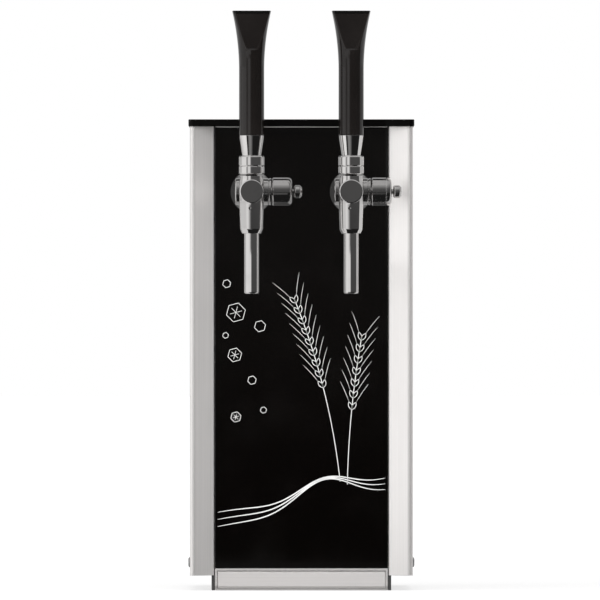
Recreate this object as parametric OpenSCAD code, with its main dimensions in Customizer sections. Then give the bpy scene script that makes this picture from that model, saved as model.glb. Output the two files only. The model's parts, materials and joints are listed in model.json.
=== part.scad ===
// Portable twin-tap beer dispenser: a folded stainless case with a cooler inside, two lever taps
// with flow knobs on a black front, and a drip tray that slides out of the plinth.
// Millimetres. X is to the right, Y to the back and Z up.
// The origin is on the table, under the middle of the case.

/* [Case] */
// Width across the side panels
case_w = 194; // [190:1:210]
// Depth of the side panels
case_d = 380; // [372:1:420]
// Height of the lid's top above the table
case_h = 410; // [402:1:440]
// Thickness of the lid
lid_t = 6; // [4:0.5:9]
// Overhang of the lid past the case
lid_over = 1.3; // [0.5:0.1:3]
// Thickness of the folded sheet
sheet_t = 1.2; // [0.8:0.1:1.6]
// Outer radius of the sheet bends
bend_r = 3; // [2:0.1:4]
// Height of the side panels' lower edge above the table
skirt_z = 13; // [8:0.5:16]
// Width of a front flange, as seen from the front
flange_w = 21; // [18:0.5:23]
// Angle of a front flange to the front plane
flange_angle = 32; // [25:1:36]
// Depth of the return lip behind a front flange
lip_d = 10; // [7:0.5:14]
// Width of a rear flange
rear_flange_w = 14; // [12:0.5:18]

/* [Front] */
// Thickness of the black fascia
fascia_t = 3; // [2:0.5:4]
// Gap between the fascia and the lips beside it
fascia_gap = 0.7; // [0.3:0.1:0.9]
// Setback of the fascia behind the inner edges of the flanges
fascia_setback = 1; // [0.5:0.1:2]

/* [Plinth and drip tray] */
// Height of the plinth
plinth_h = 19; // [17:0.5:22]
// Wall thickness of the plinth
plinth_wall = 1.9; // [1.5:0.1:2.4]
// Thickness of a skid beside the plinth
skid_t = 3; // [2:0.1:4]
// Depth of the drip tray
tray_d = 190; // [160:1:220]
// Wall thickness of the drip tray
tray_wall = 1.2; // [1:0.1:1.6]
// Width of a slot in the drip grate
grate_slot_w = 5; // [4:0.5:6]
// Finger gap between the grate and the tray's front wall
grate_gap = 9; // [7:0.5:14]

/* [Taps] */
// Distance between the two taps
tap_pitch = 86.4; // [84:0.2:92]
// Height of a tap's flow axis above the table
tap_z = 347; // [342:0.5:352]
// Distance from the fascia to a tap's upright axis
tap_reach = 56; // [54:0.5:60]
// Radius of the rosette on the fascia
rosette_r = 18.4; // [17:0.1:21]
// Radius of the flow housing
flow_r = 11.7; // [11.3:0.1:12.2]
// Radius of the flow knob
knob_r = 12.2; // [11.5:0.1:13.5]
// Length of the flow knob's grip
knob_len = 17.4; // [15:0.2:19]
// Radius of the tap body at its waist
body_r = 10.7; // [10.4:0.1:11.2]
// Drop of the tap body's lower end below the flow axis
body_drop = 36.5; // [34:0.5:40]
// Distance from a tap's upright axis to the face of its front cap
cap_reach = 22; // [20:0.5:26]
// Outer radius of the spout
spout_r = 6.4; // [6:0.1:6.8]
// Bore radius of the spout
spout_bore_r = 4.6; // [3.8:0.1:5]
// Drop of the spout's mouth below the flow axis
spout_drop = 88.7; // [70:0.5:110]

/* [Levers] */
// Radius of the lever's collar
collar_r = 11; // [10.8:0.1:11.6]
// Length of the ferrule between collar and handle
ferrule_len = 17.7; // [14:0.1:22]
// Length of the handle
handle_len = 108.3; // [90:0.5:130]
// Radius of the handle's grip
handle_r = 10.9; // [10:0.1:12]
// Radius of the handle's flared top
handle_top_r = 17; // [14:0.1:19]
// Length of the handle's flare
flare_len = 52; // [40:1:60]
// Lean of the flat on the handle's front
facet_lean = 8; // [4:1:10]

/* [Cooler] */
// Gap between the foam box and a side panel
foam_gap = 14.8; // [14:0.2:24]
// Depth of the cooling block
block_d = 95; // [80:1:97]
// Height of the cooling block
block_h = 252; // [220:1:256]
// Thickness of the foam round the block
foam_t = 16; // [12:0.5:17]
// Radius of the compressor's shell
comp_r = 55; // [50:0.5:56]
// Height of the compressor's shell
comp_h = 150; // [130:1:160]
// Radius of the fan
fan_r = 54; // [48:0.5:56]
// Number of fan blades
fan_blades_n = 5; // [3:1:7]
// Number of tube rows in the condenser
rows_n = 8; // [6:2:8]
// Number of fins in the condenser
fins_n = 22; // [14:1:26]

/* [Rear fittings] */
// Distance of the beer inlets from the case's sides
inlet_inset = 39; // [36:0.5:43]
// Bore radius of a beer inlet
inlet_bore_r = 4.8; // [4:0.1:5.4]
// Bore radius of the air outlet
air_bore_r = 4.1; // [3:0.1:5]
// Bore radius of the cord gland
gland_bore_r = 3.8; // [3:0.1:4.5]
// Radius of the thermostat's knob
dial_r = 16; // [13:0.5:19]

/* [Fits] */
// Clearance round pieces that run or slide past each other
clear = 0.3; // [0.25:0.05:0.4]
// Radial clearance of pins, spindles and tube ends
fit = 0.05; // [0.03:0.01:0.08]

/* [Hidden] */
$fn = 64;

steel = "silver";
chrome = "gainsboro";
black = "#151515";
dark = "#444444";
LEFT = -1;
RIGHT = 1;
SIDES = [LEFT, RIGHT];

// Case
half_w = case_w / 2;
half_d = case_d / 2;
inner_half_w = half_w - sheet_t;
lid_z = case_h - lid_t;
lip_x = half_w - flange_w;
lip_y = -half_d + flange_w * tan(flange_angle);
fascia_y = lip_y + fascia_setback;
fascia_back_y = fascia_y + fascia_t;
front_panel_d = 12;
front_panel_end_y = fascia_back_y + front_panel_d;
rear_panel_y = half_d - 2 * sheet_t;
rear_face_y = rear_panel_y + sheet_t;
pan_top_z = plinth_h + sheet_t;
pan_wall_h = 21;
pan_front_y = front_panel_end_y + clear;
notch_top_h = 9.2;
notch_low_h = 16;

// Screws
screw_z = pan_top_z + 4;
screw_inset_y = 42;
screw_r = 2;
screw_head_r = 4.35;
screw_head_h = 1.7;
screw_len = 8;
rear_screw_r = 1.7;
rear_screw_head_r = 3.4;
rear_screw_head_h = 1.6;
rear_screw_len = 6;
rear_screw_x = half_w - rear_flange_w / 2 - 1;
rear_screw_zs = [for (k = [0:2]) pan_top_z + 30 + k * (lid_z - pan_top_z - 60) / 2];

// Plinth and tray
plinth_w = 2 * (lip_x - clear) - 1;
plinth_back_y = half_d - 22;
slot_w = plinth_w - 2 * plinth_wall;
tray_w = slot_w - 2 * clear;
tray_z = plinth_wall + 0.1;
tray_top_z = plinth_h - plinth_wall - 2 * clear;
tray_ledge = tray_wall * 2;
tray_front_y = fascia_y + 0.5;
tray_rebate_d = 1;
tray_rebate_h = 1.2;
grate_t = 1.6;
grate_drop = 0.5;
grate_pitch = 10;

// One tap, in its own frame: the flow axis runs along Y and the upright axis along Z
tap_y = fascia_y - tap_reach;
shank_r = 10.4;
shank_end = tap_reach + 29;
flow_axis_y = 30;
flow_left_x = -14.4;
flow_edge = 0.8;
flow_right_x = 17.1;
neck_r = 9.5;
joint_y = 14.5;
tube_grip = 12;
flow_bore_r = 6.2;
rosette_t = 9;
rosette_slope = 4.3;
rosette_rim = 1.5;
nut_t = 8;
nut_r = 17;
spindle_r = 4;
knob_gap = 0.8;
crank = 2.2;
crank_pin_r = 1.2;
collar_low_z = 14.9;
collar_top_z = 31;
pivot_z = collar_low_z + 7;
collar_edge = 0.8;
bowl_r = norm([collar_r, pivot_z - collar_low_z - collar_edge]) + clear;
rim_r = 9.9;
rim_z = 12;
belly_top_z = 7;
belly_low_z = -9;
knee_r = 9.8;
knee_h = 3.4;
foot_r = 8.2;
pin_r = 1.5;
tongue_half_x = 5;
tongue_half_y = 2.8;
stem_y = 5.5;
stem_r = 1.6;
finger_r = 1;
lever_swing = 33;
chamber_r = 8;
chamber_top_z = 5;
seat_z = -17.2;
plug_r = 6.2;
boss_r = 10.4;
vent_r = 0.9;
vent_x = -1.5;
vent_z = -14.5;
cap_t = 3.5;
cap_bore_r = 7;
spout_socket = 8.5;
ferrule_low_r = 8.05;
handle_z = collar_top_z + ferrule_len;
stud_r = 4;
stud_len = 30;

// Cooler
foam_w = 2 * (inner_half_w - foam_gap);
block_w = foam_w - 2 * foam_t;
foam_d = block_d + 2 * foam_t;
foam_front_y = pan_front_y + clear;
foam_back_y = foam_front_y + foam_d;
block_front_y = foam_front_y + foam_t;
block_top_z = pan_top_z + foam_t + block_h;
cap_top_z = block_top_z + foam_t;
beer_r = 4.75;
cool_r = 3;
inlet_x = half_w - inlet_inset;
inlet_z = lid_z - 59;
beer_bend = 18;
port_depth = 10;
outlet_port_y = block_front_y + 32;
inlet_port_y = outlet_port_y + 40;
cool_port_x = 34;
cool_port_y = block_front_y + block_d - 12;
pump_w = 44;
pump_d = 52;
pump_h = inlet_z - cap_top_z + 18;
pump_y = outlet_port_y - 4;
pump_head_h = 16;
pump_head_inset = 5;
nipple_r = 5;
nipple_len = 8;

// Machine space behind the foam: condenser at the back, then fan, then compressor
cond_d = 46;
cond_y = rear_panel_y - 8 - cond_d;
row_pitch = 28;
row_r = 4;
row_out = 2;
cond_gap = 9.8;
cond_half_w = inner_half_w - cond_gap - row_pitch / 2 - row_r - row_out;
row_z0 = pan_top_z + 18;
cond_h = 2 * 18 + (rows_n - 1) * row_pitch;
cond_mid_y = cond_y + cond_d / 2;
fan_z = pan_top_z + cond_h / 2;
shroud_t = 1.5;
shroud_y = cond_y - shroud_t;
fan_depth = 14;
fan_y = shroud_y - 2 - fan_depth;
strap_t = 1.5;
motor_r = 21;
motor_len = 17;
motor_y = fan_y - 2 - motor_len;
strap_y = motor_y - strap_t;
shaft_r = 2.5;
comp_y = (foam_back_y + strap_y) / 2;
grommet_r = 9;
grommet_h = 12;
grommet_waist = 1.5;
grommet_hole_r = 5.2;
comp_foot_z = pan_top_z + grommet_h;
comp_foot_t = 3;
comp_foot_x = 50;
comp_foot_y = 34;
comp_top_z = comp_foot_z + comp_foot_t + comp_h;
stub_r = 4.2;
stub_x = 30;
stub_z = comp_top_z + 6;
drier_r = 9;
drier_gap = 3.8;
drier_x = inner_half_w - drier_gap - drier_r;
drier_y = strap_y + 8;
drier_z = pan_top_z + 42;
drier_len = 84;
line_z = cap_top_z + 18;
discharge_out = 10;
discharge_x = cond_half_w + discharge_out;
discharge_z = row_z0 + (rows_n - 1) * row_pitch;

// Rear fittings
fitting_out = 22;
fitting_in = 22;
thread_r = 8;
flange_r = 11;
flange_t = 4;
barrel_r = 9.4;
tip_r = 8.2;
tip_len = 5;
panel_nut_r = 12;
panel_nut_t = 6;
socket_depth = 18;
control_z = inlet_z - 50;
control_inset = 52;
dial_x = control_inset - half_w;
switch_x = half_w - control_inset;
thermo_w = 34;
thermo_h = 38;
thermo_d = 32;
bush_r = 5;
dial_shaft_r = 3;
dial_shaft_len = 12;
switch_w = 24;
switch_h = 30;
switch_depth = 18;
switch_wall = 1.6;
rocker_pin_r = 1.5;
rocker_y = -2;
rocker_swing = 10;
gland_z = control_z;
gland_r = 10;
gland_in = 14;
gland_out = 15;

// Plane geometry of folded sheet: paths turn left, and the metal lies to the left of the path
function unit(v) = v / norm(v);
function left_of(v) = [-v[1], v[0]];
function cross2(a, b) = a[0] * b[1] - a[1] * b[0];
function meet(p, u, q, v) = p + u * cross2(q - p, v) / cross2(u, v);
function turned(list) = [for (i = [len(list) - 1:-1:0]) list[i]];

// Path moved sideways by d, to its left
function shifted(path, d) = let (last = len(path) - 1) [for (i = [0:last])
    let (a = unit(path[max(i, 1)] - path[max(i, 1) - 1]),
         b = unit(path[min(i, last - 1) + 1] - path[min(i, last - 1)]))
    i == 0 ? path[0] + d * left_of(b) : i == last ? path[last] + d * left_of(a)
        : meet(path[i] + d * left_of(a), a, path[i] + d * left_of(b), b)];

// Arc of radius r in the corner at p between a and b, in the plane or in space
function corner(a, p, b, r, steps) =
    let (u = unit(a - p), v = unit(b - p), half = acos(u * v) / 2,
         middle = p + unit(u + v) * r / sin(half), arm = unit(p + u * r / tan(half) - middle))
    [for (k = [0:steps]) let (t = (180 - 2 * half) * k / steps) middle + r * (arm * cos(t) - u * sin(t))];

function rounded(path, r, steps = 6) = let (last = len(path) - 1) [for (i = [0:last])
    each i == 0 || i == last ? [path[i]] : corner(path[i - 1], path[i], path[i + 1], r, steps)];

module folded_sheet(path, h) {
    linear_extrude(h)
        polygon(concat(rounded(path, bend_r), turned(rounded(shifted(path, sheet_t), bend_r - sheet_t))));
}

module rounded_rect(w, d, r) {
    ring = [[0, -d / 2], [w / 2, -d / 2], [w / 2, d / 2], [-w / 2, d / 2], [-w / 2, -d / 2], [0, -d / 2]];
    polygon(rounded(ring, r));
}

// Round tube along a route whose corners are bent to a radius
module tube(route, r, bend) {
    sides = 8;
    path = rounded(route, bend, 5);
    last = len(path) - 1;
    heads = [for (i = [0:last]) unit(path[min(i + 1, last)] - path[max(i - 1, 0)])];
    start = abs(heads[0][0]) < 0.9 ? [1, 0, 0] : [0, 1, 0];
    across = [for (i = 0, n = unit(start - heads[0] * (start * heads[0])); i <= last;
        i = i + 1, n = i > last ? n : unit(n - heads[i] * (n * heads[i]))) n];
    rings = [for (i = [0:last]) for (k = [0:sides - 1]) let (t = 360 * k / sides)
        path[i] + r * (across[i] * cos(t) + cross(heads[i], across[i]) * sin(t))];
    walls = [for (i = [0:last - 1]) for (k = [0:sides - 1])
        let (a = i * sides + k, b = i * sides + (k + 1) % sides)
        each [[a, a + sides, b], [b, a + sides, b + sides]]];
    ends = [[for (k = [0:sides - 1]) k], [for (k = [sides - 1:-1:0]) last * sides + k]];
    polyhedron(rings, concat(walls, ends));
}

// Revolves a profile of [radius, distance along the axis] about X or Y
module turn_x(profile) {
    rotate([0, 90, 0])
        rotate_extrude()
            polygon(profile);
}

module turn_y(profile) {
    rotate([-90, 0, 0])
        rotate_extrude()
            polygon(profile);
}

module rod_x(r, x0, x1) {
    translate([x0, 0, 0])
        rotate([0, 90, 0])
            cylinder(r = r, h = x1 - x0);
}

module rod_y(r, y0, y1) {
    translate([0, y0, 0])
        rotate([-90, 0, 0])
            cylinder(r = r, h = y1 - y0);
}

// Block between two corners
module span(low, high) {
    translate(low)
        cube(high - low);
}

module at_tap(side) {
    translate([side * tap_pitch / 2, tap_y, tap_z])
        children();
}

module at_rear(x, z) {
    translate([x, rear_face_y, z])
        children();
}

// Plinth: an open-fronted sleeve that carries the case and holds the drip tray
module plinth() {
    color(steel)
        difference() {
            span([-plinth_w / 2, fascia_y, 0], [plinth_w / 2, plinth_back_y, plinth_h]);
            span([-slot_w / 2, fascia_y - 1, plinth_wall],
                [slot_w / 2, plinth_back_y - plinth_wall, plinth_h - plinth_wall]);
        }
}

module skid(side) {
    color(dark)
        translate([side * (plinth_w + skid_t) / 2, 0, 0])
            span([-skid_t / 2, lip_y + bend_r + clear, 0], [skid_t / 2, plinth_back_y, plinth_h]);
}

// Drip tray: a tray with a ledge for the grate and a rebate along the foot of its front
module drip_tray() {
    front = tray_front_y;
    color(steel)
        difference() {
            span([-tray_w / 2, front, tray_z], [tray_w / 2, front + tray_d, tray_top_z]);
            span([-tray_w / 2 + tray_ledge, front + tray_ledge, tray_z + tray_wall],
                [tray_w / 2 - tray_ledge, front + tray_d - tray_ledge, tray_top_z + 1]);
            span([-tray_w / 2 + tray_wall, front + tray_wall, tray_top_z - grate_t - grate_drop],
                [tray_w / 2 - tray_wall, front + tray_d - tray_wall, tray_top_z + 1]);
            span([-tray_w / 2 - 1, front - 1, tray_z - 1],
                [tray_w / 2 + 1, front + tray_rebate_d, tray_z + tray_rebate_h]);
        }
}

// Grate: a plate with long slots, lying on the tray's ledge behind a finger gap
module drip_grate() {
    w = tray_w - 2 * tray_wall - clear;
    d = tray_d - 2 * tray_wall - clear - grate_gap;
    slots = floor((w / 2 - grate_slot_w) / grate_pitch);
    slot_half = d / 2 - 10;
    color(steel)
        translate([0, tray_front_y + (tray_d + grate_gap) / 2, tray_top_z - grate_t - grate_drop])
            linear_extrude(grate_t)
                difference() {
                    square([w, d], center = true);
                    for (i = [-slots:slots])
                        translate([i * grate_pitch, 0])
                            square([grate_slot_w, 2 * slot_half], center = true);
                }
}

// Floor pan: a tray of sheet whose upturned sides take the side panels' screws
module floor_pan() {
    x = inner_half_w - 0.2;
    path = [[-x, pan_wall_h], [-x, 0], [x, 0], [x, pan_wall_h]];
    length = rear_panel_y - pan_front_y;
    color(steel)
        difference() {
            translate([0, rear_panel_y, plinth_h])
                rotate([90, 0, 0])
                    folded_sheet(path, length);
            side_screw_holes();
        }
}

module at_side_screws(side) {
    for (y = [pan_front_y + screw_inset_y / 3, rear_panel_y - screw_inset_y])
        translate([side * half_w, y, screw_z])
            rotate([0, side * 90, 0])
                children();
}

module side_screw_holes() {
    for (side = SIDES)
        at_side_screws(side)
            translate([0, 0, -screw_len])
                cylinder(r = screw_r + 0.15, h = screw_len + 1);
}

module rear_screw_holes() {
    for (side = SIDES)
        for (z = rear_screw_zs)
            translate([side * rear_screw_x, 0, z])
                rod_y(rear_screw_r + 0.15, rear_panel_y - 1, half_d + 1);
}

// Side panel: one sheet folded into a rear flange, the side, the angled front flange and its lip
module side_panel(side) {
    path = [[-half_w + rear_flange_w, half_d], [-half_w, half_d], [-half_w, -half_d],
        [-lip_x, lip_y], [-lip_x, lip_y + lip_d]];
    height = lid_z - skirt_z;
    color(steel)
        difference() {
            mirror([side == RIGHT ? 1 : 0, 0, 0])
                difference() {
                    translate([0, 0, skirt_z])
                        folded_sheet(path, height);
                    for (z = [skirt_z - 1, lid_z - notch_top_h])
                        translate([-lip_x - sheet_t - 1, lip_y + bend_r, z])
                            cube([sheet_t + 2, lip_d, z < tap_z ? notch_low_h + 1 : notch_top_h + 1]);
                }
            side_screw_holes();
            rear_screw_holes();
        }
}

// Front panel: the sheet behind the fascia, with both sides turned back along the lips
module front_panel() {
    x = lip_x - clear;
    path = [[-x, front_panel_end_y], [-x, fascia_back_y], [x, fascia_back_y], [x, front_panel_end_y]];
    color(steel)
        difference() {
            translate([0, 0, plinth_h])
                folded_sheet(path, lid_z - plinth_h);
            shank_holes();
        }
}

module shank_holes() {
    for (side = SIDES)
        at_tap(side)
            rod_y(shank_r + clear, tap_reach - 1, tap_reach + fascia_t + sheet_t + 1);
}

module front_fascia() {
    x = lip_x - fascia_gap;
    color(black)
        difference() {
            span([-x, fascia_y, plinth_h + 0.3], [x, fascia_back_y, lid_z - 1.2]);
            shank_holes();
        }
}

// Rear panel: cut-outs for the fittings, and rows of slots before the condenser
module rear_panel() {
    w = 2 * (half_w - bend_r - clear);
    slot_len = 54;
    slot_h = 5;
    slot_pitch = 11;
    slots = floor((cond_h - 30) / slot_pitch);
    color(steel)
        difference() {
            translate([0, rear_face_y, 0])
                rotate([90, 0, 0])
                    linear_extrude(sheet_t)
                        difference() {
                            translate([-w / 2, pan_top_z + 0.2])
                                square([w, lid_z - pan_top_z - 0.2]);
                            for (i = [0:slots - 1])
                                for (side = SIDES)
                                    translate([side * (slot_len / 2 + 5),
                                        fan_z + (i - (slots - 1) / 2) * slot_pitch])
                                        slot_2d(slot_len, slot_h);
                            translate([switch_x, control_z])
                                square([switch_w + 0.4, switch_h + 0.4], center = true);
                            for (x = [-inlet_x, 0, inlet_x])
                                translate([x, inlet_z])
                                    circle(thread_r + 0.15);
                            translate([0, gland_z])
                                circle(thread_r + 0.15);
                            translate([dial_x, control_z])
                                circle(bush_r + 0.2);
                        }
            rear_screw_holes();
        }
}

module slot_2d(length, h) {
    square([length - h, h], center = true);
    for (end = SIDES)
        translate([end * (length - h) / 2, 0])
            circle(h / 2);
}

// Lid: a slab with a rim below that drops inside the case
module lid() {
    w = case_w + 2 * lid_over;
    d = case_d + 2 * lid_over;
    rim_h = 4;
    rim_t = 3;
    rim_w = 2 * inner_half_w - 2;
    rim_back_y = rear_panel_y - 1;
    rim_front_y = front_panel_end_y + 1;
    color(black)
        union() {
            translate([0, 0, lid_z])
                linear_extrude(lid_t)
                    rounded_rect(w, d, bend_r + lid_over);
            difference() {
                span([-rim_w / 2, rim_front_y, lid_z - rim_h], [rim_w / 2, rim_back_y, lid_z + 1]);
                span([-rim_w / 2 + rim_t, rim_front_y + rim_t, lid_z - rim_h - 1],
                    [rim_w / 2 - rim_t, rim_back_y - rim_t, lid_z]);
            }
        }
}

// Pan-headed screw: the head's seat is at zero and the head points along +Z
module pan_screw(r, head_r, head_h, length) {
    crown = head_h * 0.55;
    rotate_extrude()
        polygon([[0, -length], [r, -length], [r, 0], [head_r, 0], [head_r, head_h - crown],
            [head_r * 0.72, head_h], [0, head_h]]);
}

module side_screws() {
    color(dark)
        for (side = SIDES)
            at_side_screws(side)
                pan_screw(screw_r, screw_head_r, screw_head_h, screw_len);
}

module rear_screws() {
    color(dark)
        for (side = SIDES)
            for (z = rear_screw_zs)
                translate([side * rear_screw_x, half_d, z])
                    rotate([-90, 0, 0])
                        pan_screw(rear_screw_r, rear_screw_head_r, rear_screw_head_h, rear_screw_len);
}

// Rosette: the steep collar between the tap and the fascia
module rosette(side) {
    low = tap_reach - rosette_t;
    color(chrome)
        at_tap(side)
            turn_y([[shank_r + 0.2, low], [rosette_r - rosette_slope, low],
                [rosette_r, tap_reach - rosette_rim], [rosette_r, tap_reach], [shank_r + 0.2, tap_reach]]);
}

// Flow housing: the cross barrel of the flow control, with the shank that passes through the front
module flow_body(side) {
    color(chrome)
        at_tap(side)
            difference() {
                union() {
                    translate([0, flow_axis_y, 0])
                        turn_x([[0, flow_left_x], [flow_r - flow_edge, flow_left_x],
                            [flow_r, flow_left_x + flow_edge], [flow_r, flow_right_x], [0, flow_right_x]]);
                    rod_y(neck_r, joint_y, flow_axis_y);
                    rod_y(shank_r, flow_axis_y, shank_end);
                }
                rod_y(flow_bore_r, joint_y - 1, shank_end - tube_grip - 1);
                rod_y(beer_r + fit, shank_end - tube_grip - 2, shank_end + 1);
                translate([0, flow_axis_y, 0])
                    rod_x(spindle_r + fit, 0, flow_right_x + 1);
            }
}

// Flow knob: grip and end button, with a spindle whose crank pin moves the flow cone
module flow_knob(side) {
    inner = flow_right_x + knob_gap;
    outer = inner + knob_len;
    edge = 3.4;
    waist_r = 2.4;
    waist_len = 1.2;
    button_r = 5.7;
    button_len = 8.6;
    color(chrome)
        at_tap(side)
            translate([0, flow_axis_y, 0]) {
                turn_x(concat([[0, flow_bore_r + 0.6], [spindle_r, flow_bore_r + 0.6], [spindle_r, inner],
                    [knob_r - 0.8, inner], [knob_r, inner + 0.8]],
                    [for (t = [0:15:90]) [knob_r - edge + edge * cos(t), outer - edge + edge * sin(t)]],
                    [[waist_r, outer], [waist_r, outer + waist_len], [button_r - 1.4, outer + waist_len],
                    [button_r, outer + waist_len + 1.4], [button_r, outer + button_len - 2],
                    [button_r - 2, outer + button_len], [0, outer + button_len]]));
                translate([0, 0, crank])
                    rod_x(crank_pin_r, 2.6, flow_bore_r + 1);
            }
}

// Flow cone: slides in the shank's bore and throttles the beer
module flow_cone(side) {
    r = flow_bore_r - clear;
    tail = flow_axis_y - 6;
    color("white")
        at_tap(side)
            difference() {
                turn_y([[0, tail], [r, tail], [r, flow_axis_y + 7], [2.2, flow_axis_y + 36],
                    [0, flow_axis_y + 36]]);
                span([2.2, flow_axis_y - crank_pin_r - 0.2, 0],
                    [flow_bore_r + 1, flow_axis_y + crank_pin_r + 0.2, crank + crank_pin_r + 0.4]);
            }
}

// Tap body: the upright, with the boss of the front cap, the bowl that clears the lever's collar,
// the tongue that carries the lever's pin, the valve chamber and the spout's socket
module tap_body(side) {
    color(chrome)
        at_tap(side)
            difference() {
                union() {
                    difference() {
                        union() {
                            rotate_extrude()
                                polygon([[0, -body_drop], [foot_r, -body_drop],
                                    [knee_r, -body_drop + knee_h], [body_r, belly_low_z],
                                    [body_r, belly_top_z], [rim_r, rim_z], [rim_r, collar_low_z - 1],
                                    [0, collar_low_z - 1]]);
                            rod_y(boss_r, cap_t - cap_reach, 0);
                            rod_y(neck_r, 0, joint_y);
                        }
                        translate([0, 0, pivot_z])
                            sphere(bowl_r);
                    }
                    tongue();
                }
                translate([0, 0, seat_z])
                    cylinder(r = chamber_r, h = chamber_top_z - seat_z);
                rod_y(cap_bore_r, -cap_reach, -chamber_r + 2);
                rod_y(neck_r - 5, chamber_r - 2, joint_y + 1);
                translate([0, 0, -body_drop - 1])
                    cylinder(r = spout_bore_r, h = body_drop + seat_z + 2);
                translate([0, 0, -body_drop - 1])
                    cylinder(r = spout_r + fit, h = spout_socket + 1);
                translate([0, stem_y, chamber_top_z - 1])
                    cylinder(r = stem_r + 0.15, h = pivot_z);
                translate([0, 0, pivot_z])
                    rod_x(pin_r + fit, -tongue_half_x - 1, tongue_half_x + 1);
                translate([vent_x, 0, vent_z])
                    rod_y(vent_r, -body_r - 1, -chamber_r + 2);
            }
}

module tongue() {
    outline = concat([[tongue_half_y, chamber_top_z + 1]],
        [for (t = [0:15:180]) [tongue_half_y * cos(t), pivot_z + tongue_half_y * sin(t)]],
        [[-tongue_half_y, chamber_top_z + 1]]);
    translate([-tongue_half_x, 0, 0])
        rotate([90, 0, 90])
            linear_extrude(2 * tongue_half_x)
                polygon(outline);
}

// Front cap: closes the valve chamber
module front_cap(side) {
    color(chrome)
        at_tap(side)
            turn_y([[0, -cap_reach], [boss_r - 0.7, -cap_reach], [boss_r, 0.7 - cap_reach],
                [boss_r, cap_t - cap_reach], [cap_bore_r - 0.1, cap_t - cap_reach],
                [cap_bore_r - 0.1, -chamber_r - 2], [0, -chamber_r - 2]]);
}

module spout(side) {
    top = -body_drop + spout_socket - 0.2;
    edge = 1;
    color(chrome)
        at_tap(side)
            rotate_extrude()
                polygon([[spout_bore_r, top], [spout_r, top], [spout_r, edge - spout_drop],
                    [spout_r - edge, -spout_drop], [spout_bore_r, -spout_drop]]);
}

// Lever: the collar, hollow over the tongue, with the ferrule and the stud of the handle
module lever(side) {
    groove_z = pivot_z + 0.2;
    groove = 0.45;
    hollow_x = tongue_half_x + clear;
    gap = (tongue_half_y + clear + 0.1) / cos(lever_swing);
    low = collar_low_z - pivot_z - 1;
    back = 9;
    top = 4.6;
    color(chrome)
        at_tap(side) {
            difference() {
                rotate_extrude()
                    polygon([[0, collar_low_z], [collar_r - collar_edge, collar_low_z],
                        [collar_r, collar_low_z + collar_edge],
                        [collar_r, groove_z - groove], [collar_r - groove, groove_z],
                        [collar_r, groove_z + groove],
                        [collar_r, collar_top_z - 1], [collar_r - 1, collar_top_z],
                        [ferrule_low_r, collar_top_z], [handle_r - 0.15, handle_z],
                        [stud_r, handle_z], [stud_r, handle_z + stud_len], [0, handle_z + stud_len]]);
                translate([-hollow_x, 0, pivot_z])
                    rotate([90, 0, 90])
                        linear_extrude(2 * hollow_x)
                            polygon([[back, low], [back, top], [-gap, top], [-gap, 0],
                                [low * tan(lever_swing) - gap, low]]);
                translate([0, 0, pivot_z])
                    rod_x(pin_r + 0.02, -collar_r - 1, collar_r + 1);
            }
            translate([0, stem_y, pivot_z])
                rod_x(finger_r, -hollow_x - 1, hollow_x + 1);
        }
}

module pivot_pin(side) {
    color(steel)
        at_tap(side)
            translate([0, 0, pivot_z])
                rod_x(pin_r, 1 - collar_r, collar_r - 1);
}

// Handle: a grip that flares to the top, with a leaning flat on the front of the flare
module handle(side) {
    top = handle_z + handle_len;
    flare_z = top - flare_len;
    edge = 1;
    facet_z = top - 0.66 * flare_len;
    facet_y = handle_r - 0.4;
    color(black)
        at_tap(side)
            difference() {
                rotate_extrude()
                    polygon(concat([[0, handle_z], [handle_r - 0.4, handle_z], [handle_r, handle_z + 0.6]],
                        [for (k = [0:14]) let (t = k / 14)
                            [handle_r + (handle_top_r - handle_r) * t * t,
                                flare_z + t * (flare_len - edge)]],
                        [[handle_top_r - edge * 0.6, top], [0, top]]));
                translate([0, -facet_y, facet_z])
                    rotate([-facet_lean, 0, 0])
                        translate([-2 * handle_top_r, -2 * handle_top_r, 0])
                            cube([4 * handle_top_r, 2 * handle_top_r, 2 * flare_len]);
                translate([0, 0, handle_z - 1])
                    cylinder(r = stud_r + fit, h = stud_len + 2);
            }
}

// Valve stem: the lever's finger lifts its hook, and its plug opens the seat above the spout
module valve_stem(side) {
    hook_front = tongue_half_y + clear;
    hook_back = stem_y + 1.7;
    hook_half_h = 1.9;
    bar_low = seat_z + 3;
    bar_high = bar_low + 3;
    color(steel)
        at_tap(side)
            difference() {
                union() {
                    span([-stem_r, hook_front, pivot_z - hook_half_h],
                        [stem_r, hook_back, pivot_z + hook_half_h]);
                    translate([0, stem_y, bar_low + 1])
                        cylinder(r = stem_r, h = pivot_z - bar_low - 2);
                    span([-stem_r, 0, bar_low], [stem_r, stem_y, bar_high]);
                    translate([0, 0, seat_z + 0.2])
                        cylinder(r = plug_r, h = 4.4);
                }
                span([-stem_r - 1, hook_front - 1, pivot_z - finger_r - 0.2],
                    [stem_r + 1, stem_y + finger_r + 0.2, pivot_z + finger_r + 0.2]);
            }
}

module shank_nuts() {
    color(steel)
        for (side = SIDES)
            at_tap(side)
                translate([0, tap_reach + fascia_t + sheet_t, 0])
                    rotate([-90, 0, 0])
                        difference() {
                            cylinder(r = nut_r, h = nut_t, $fn = 6);
                            translate([0, 0, -1])
                                cylinder(r = shank_r + fit, h = nut_t + 2);
                        }
}

// Foam box round the cooling block, open at the top
module foam_jacket() {
    color("ivory")
        difference() {
            span([-foam_w / 2, foam_front_y, pan_top_z], [foam_w / 2, foam_back_y, block_top_z]);
            span([-block_w / 2 - clear, block_front_y - clear, pan_top_z + foam_t],
                [block_w / 2 + clear, block_front_y + block_d + clear, block_top_z + 1]);
        }
}

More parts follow.
